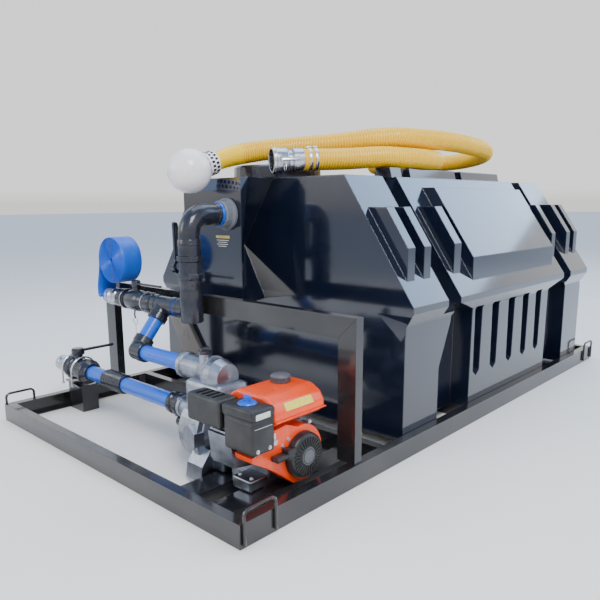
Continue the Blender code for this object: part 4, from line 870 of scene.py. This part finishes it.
def bolts():
    """Nuts on the U-bolts, screws on the pump and the engine, the pump's flange and the cooling fins."""
    shape = Shape()
    for x in (-0.757, -0.6685):
        for side in (-0.0612, 0.0612):
            shape.bolt((x, SUCTION_Y + side, 0.1240), -Z, 0.0065, 0.006)
    circle, count = 0.1335, 10
    for i in range(count):
        a = math.tau * (i + 0.5) / count
        shape.bolt((0.3465, SUCTION_Y + circle * math.cos(a), CRANK_Z + circle * math.sin(a)),
                   -X, 0.0058, 0.006)
    for side in (-0.048, 0.048):
        for up in (-0.030, 0.030):
            shape.bolt((0.124, SUCTION_Y + side * 0.70, OUTLET_Z + up), -X, 0.005, 0.005)
    for y, z in ((-1.160, 0.222), (-1.186, 0.206), (-1.060, 0.254)):
        shape.bolt((0.7002, y, z), X, 0.0052, 0.005)
    for y in (-1.312, -1.262):
        shape.bolt((0.7222, y, 0.232), X, 0.0050, 0.004)
    for x in (0.5560, 0.6100):
        shape.bolt((x, -1.236, 0.086), Z, 0.006, 0.006)
    shape.done("screws", "zinc", "zinc", angle=25)
    flange = Shape().lathe([(0.120, 0.0), (0.140, 0.0), (0.1415, 0.0015), (0.1415, 0.0115), (0.140, 0.013),
                            (0.120, 0.013)], (0.3470, SUCTION_Y, CRANK_Z), X, 72)
    flange.done("pump_flange", "aluminium", "aluminium")
    fins = Shape()
    for i in range(7):
        y = -1.292 + i * 0.0185
        fins.box((0.4765, y, 0.142), (0.5835, y + 0.0032, 0.2445), 0.0008)
    fins.done("cooling_fins", "aluminium", "aluminium")


# ---------------------------------------------------------------- engine


def petrol_tank():
    """The engine's fuel tank with its seam, neck, cap and blank label."""
    y = CRANK_Y
    section = [(0.510, 0.2975), (0.530, 0.2778), (0.700, 0.2778), (0.722, 0.2975), (0.724, 0.322),
               (0.706, 0.352), (0.668, 0.3718), (0.545, 0.3718), (0.510, 0.350)]
    body = Shape().prism(section, y - 0.1398, y + 0.090, "Y")
    round_off(body.done("fuel_tank_fine", "engine_orange", "engine_orange", "fuel_tank"), 0.011, 4, 12)
    seam = Shape().prism([(0.5075, 0.2975), (0.7275, 0.2975), (0.7275, 0.3020), (0.5075, 0.3020)],
                         y - 0.1402, y + 0.092, "Y")
    round_off(seam.done("fuel_tank_seam", "engine_orange", "engine_orange"), 0.0018, 2)
    neck = Shape().lathe([(0.018, 0.0), (0.024, 0.0), (0.024, 0.006), (0.018, 0.006)],
                         (0.588, y + 0.020, 0.3700), Z, 48)
    neck.done("filler_neck", "steel", "steel")
    cap = Shape().lathe([(0.0, 0.0240), (0.024, 0.0240), (0.027, 0.0225), (0.031, 0.0225), (0.034, 0.0190),
                         (0.034, 0.0020), (0.026, 0.0020), (0.026, 0.0060), (0.0, 0.0060)],
                         (0.588, y + 0.020, 0.3723), Z, 64)
    collar_ring(cap, (0.588, y + 0.020, 0.3753), Z, 0.0340, 0.015, 20, 0.0004)
    cap.done("cap_fine", "cap_grey", "cap_grey", "fuel_cap")
    slope = Vector((0.7244 - 0.7064, 0, 0.3216 - 0.3516)).normalized()
    out = Vector((-slope.z, 0, slope.x))
    corner = Vector((0.7152, 0, 0.3368)) + out * 0.0006
    edges = [corner + slope * d + out * h
             for d, h in ((-0.0135, 0.0), (0.0135, 0.0), (0.0135, 0.0005), (-0.0135, 0.0005))]
    label = Shape().prism([(c.x, c.z) for c in edges], y - 0.092, y + 0.034, "Y")
    label.done("tank_label", "label_yellow", "engine_orange")


def recoil_starter():
    """The recoil cover with its slots, a near-black ring of painted shade in the slots, its badge, and the
    grip.
    """
    x0, y, z = ENGINE_FACE_X, CRANK_Y, CRANK_Z
    cover = Shape().lathe([(0.0, 0.0330), (0.028, 0.0330), (0.031, 0.0318), (0.034, 0.0292), (0.064, 0.0292),
                           (0.070, 0.0270), (0.0745, 0.0215), (0.0765, 0.010), (0.077, 0.0), (0.070, 0.0),
                           (0.066, 0.020), (0.0, 0.0250)], (x0, y, z), X, 72)
    half_spoke = Vector((0.0018, 0.0150, 0.0017))
    spokes = 28
    for i in range(spokes):
        turn = Matrix.Rotation(math.tau * i / spokes, 3, "X")
        middle = Vector((x0 + 0.0308, y, z)) + turn @ Vector((0, 0.0485, 0))
        cover.box(middle - half_spoke, middle + half_spoke, 0.0005, turn, 1)
    cover.box((x0, y - 0.092, z + 0.010), (0.7290, y - 0.055, z + 0.046), 0.004)
    cover.done("recoil_fine", "engine_black", "engine_black", "recoil_cover")
    # A near-black ring under the spokes: painted shade in the cover's slots.
    shade_black = Shape().lathe([(0.0350, 0.0294), (0.0630, 0.0294), (0.0630, 0.0296), (0.0350, 0.0296)], (x0, y, z),
                         X, 72)
    shade_black.done("recoil_gap_shade", "shade_black", "engine_black")
    disc = Shape().lathe([(0.0, 0.0334), (0.0225, 0.0334), (0.0225, 0.0328), (0.0, 0.0328)], (x0, y, z),
                         X, 64)
    disc.lathe([(0.0265, 0.0330), (0.0285, 0.0338), (0.0300, 0.0326)], (x0, y, z), X, 64)
    disc.done("recoil_badge", "cap_grey", "engine_black")
    grip_y = y - 0.0923
    grip = Shape().prism([(0.7045, z + 0.020), (0.7330, z + 0.020), (0.7370, z + 0.028), (0.7330, z + 0.036),
                          (0.7045, z + 0.036), (0.7012, z + 0.028)], grip_y - 0.050, grip_y, "Y")
    grip.tube([(0.7150, grip_y - 0.010, z + 0.028), (0.7150, y - 0.058, z + 0.028)], 0.0025, 12)
    round_off(grip.done("grip_fine", "engine_black", "engine_black", "recoil_grip"), 0.003, 3)


def air_cleaner():
    """The air cleaner's case, its lid and its blank label."""
    box = Shape().box((0.590, -1.330, 0.217), (0.722, -1.2387, 0.3200), 0.010, segments=4)
    box.box((0.5925, -1.3275, 0.3150), (0.7195, -1.2400, 0.3260), 0.001)
    box.box((0.586, -1.334, 0.3235), (0.726, -1.2387, 0.360), 0.010, segments=4)
    box.done("air_cleaner_fine", "engine_black", "engine_black", "air_cleaner")
    label = Shape().box((0.7258, -1.320, 0.3300), (0.7265, -1.262, 0.3480), 0.0002)
    label.box((0.7216, -1.322, 0.3010), (0.7224, -1.250, 0.3024), 0.0002)
    label.done("air_cleaner_label", "label_pale", "engine_black")


def tower_labels():
    """A blank plate and four plain bars on the tank's tower."""
    print_y = -0.770
    plate = Shape().box((-0.092, print_y - 0.0008, 0.806), (-0.004, print_y, 0.8175), 0.0002)
    plate.done("tower_label_top", "label_gold", "tank_black")
    lines = Shape()
    for i, (a, b) in enumerate(((-0.086, -0.010), (-0.080, -0.020), (-0.086, -0.014), (-0.076, -0.026))):
        lines.box((a, print_y - 0.0006, 0.7965 - i * 0.0085), (b, print_y, 0.7990 - i * 0.0085), 0.0001)
    lines.done("tower_label_lines", "label_pale", "tank_black")


# ---------------------------------------------------------------- tank


def front_buttress():
    """The slanted buttress on the tank's front wall behind the pipes, coloured taupe as a painted reflection
    on the black moulding.
    """
    outline = [(-0.711, 0.385), (-0.571, 0.396), (-0.442, 0.221), (-0.470, 0.200), (-0.593, 0.191)]
    plate = Shape().prism(outline, -0.600, -0.5748, "Y")
    round_off(plate.done("front_buttress", "reflection_taupe", "tank_black"), 0.006, 3)


riser()
delivery_line()
layflat_roll()
suction_line()
bolts()
petrol_tank()
recoil_starter()
air_cleaner()
tower_labels()
front_buttress()
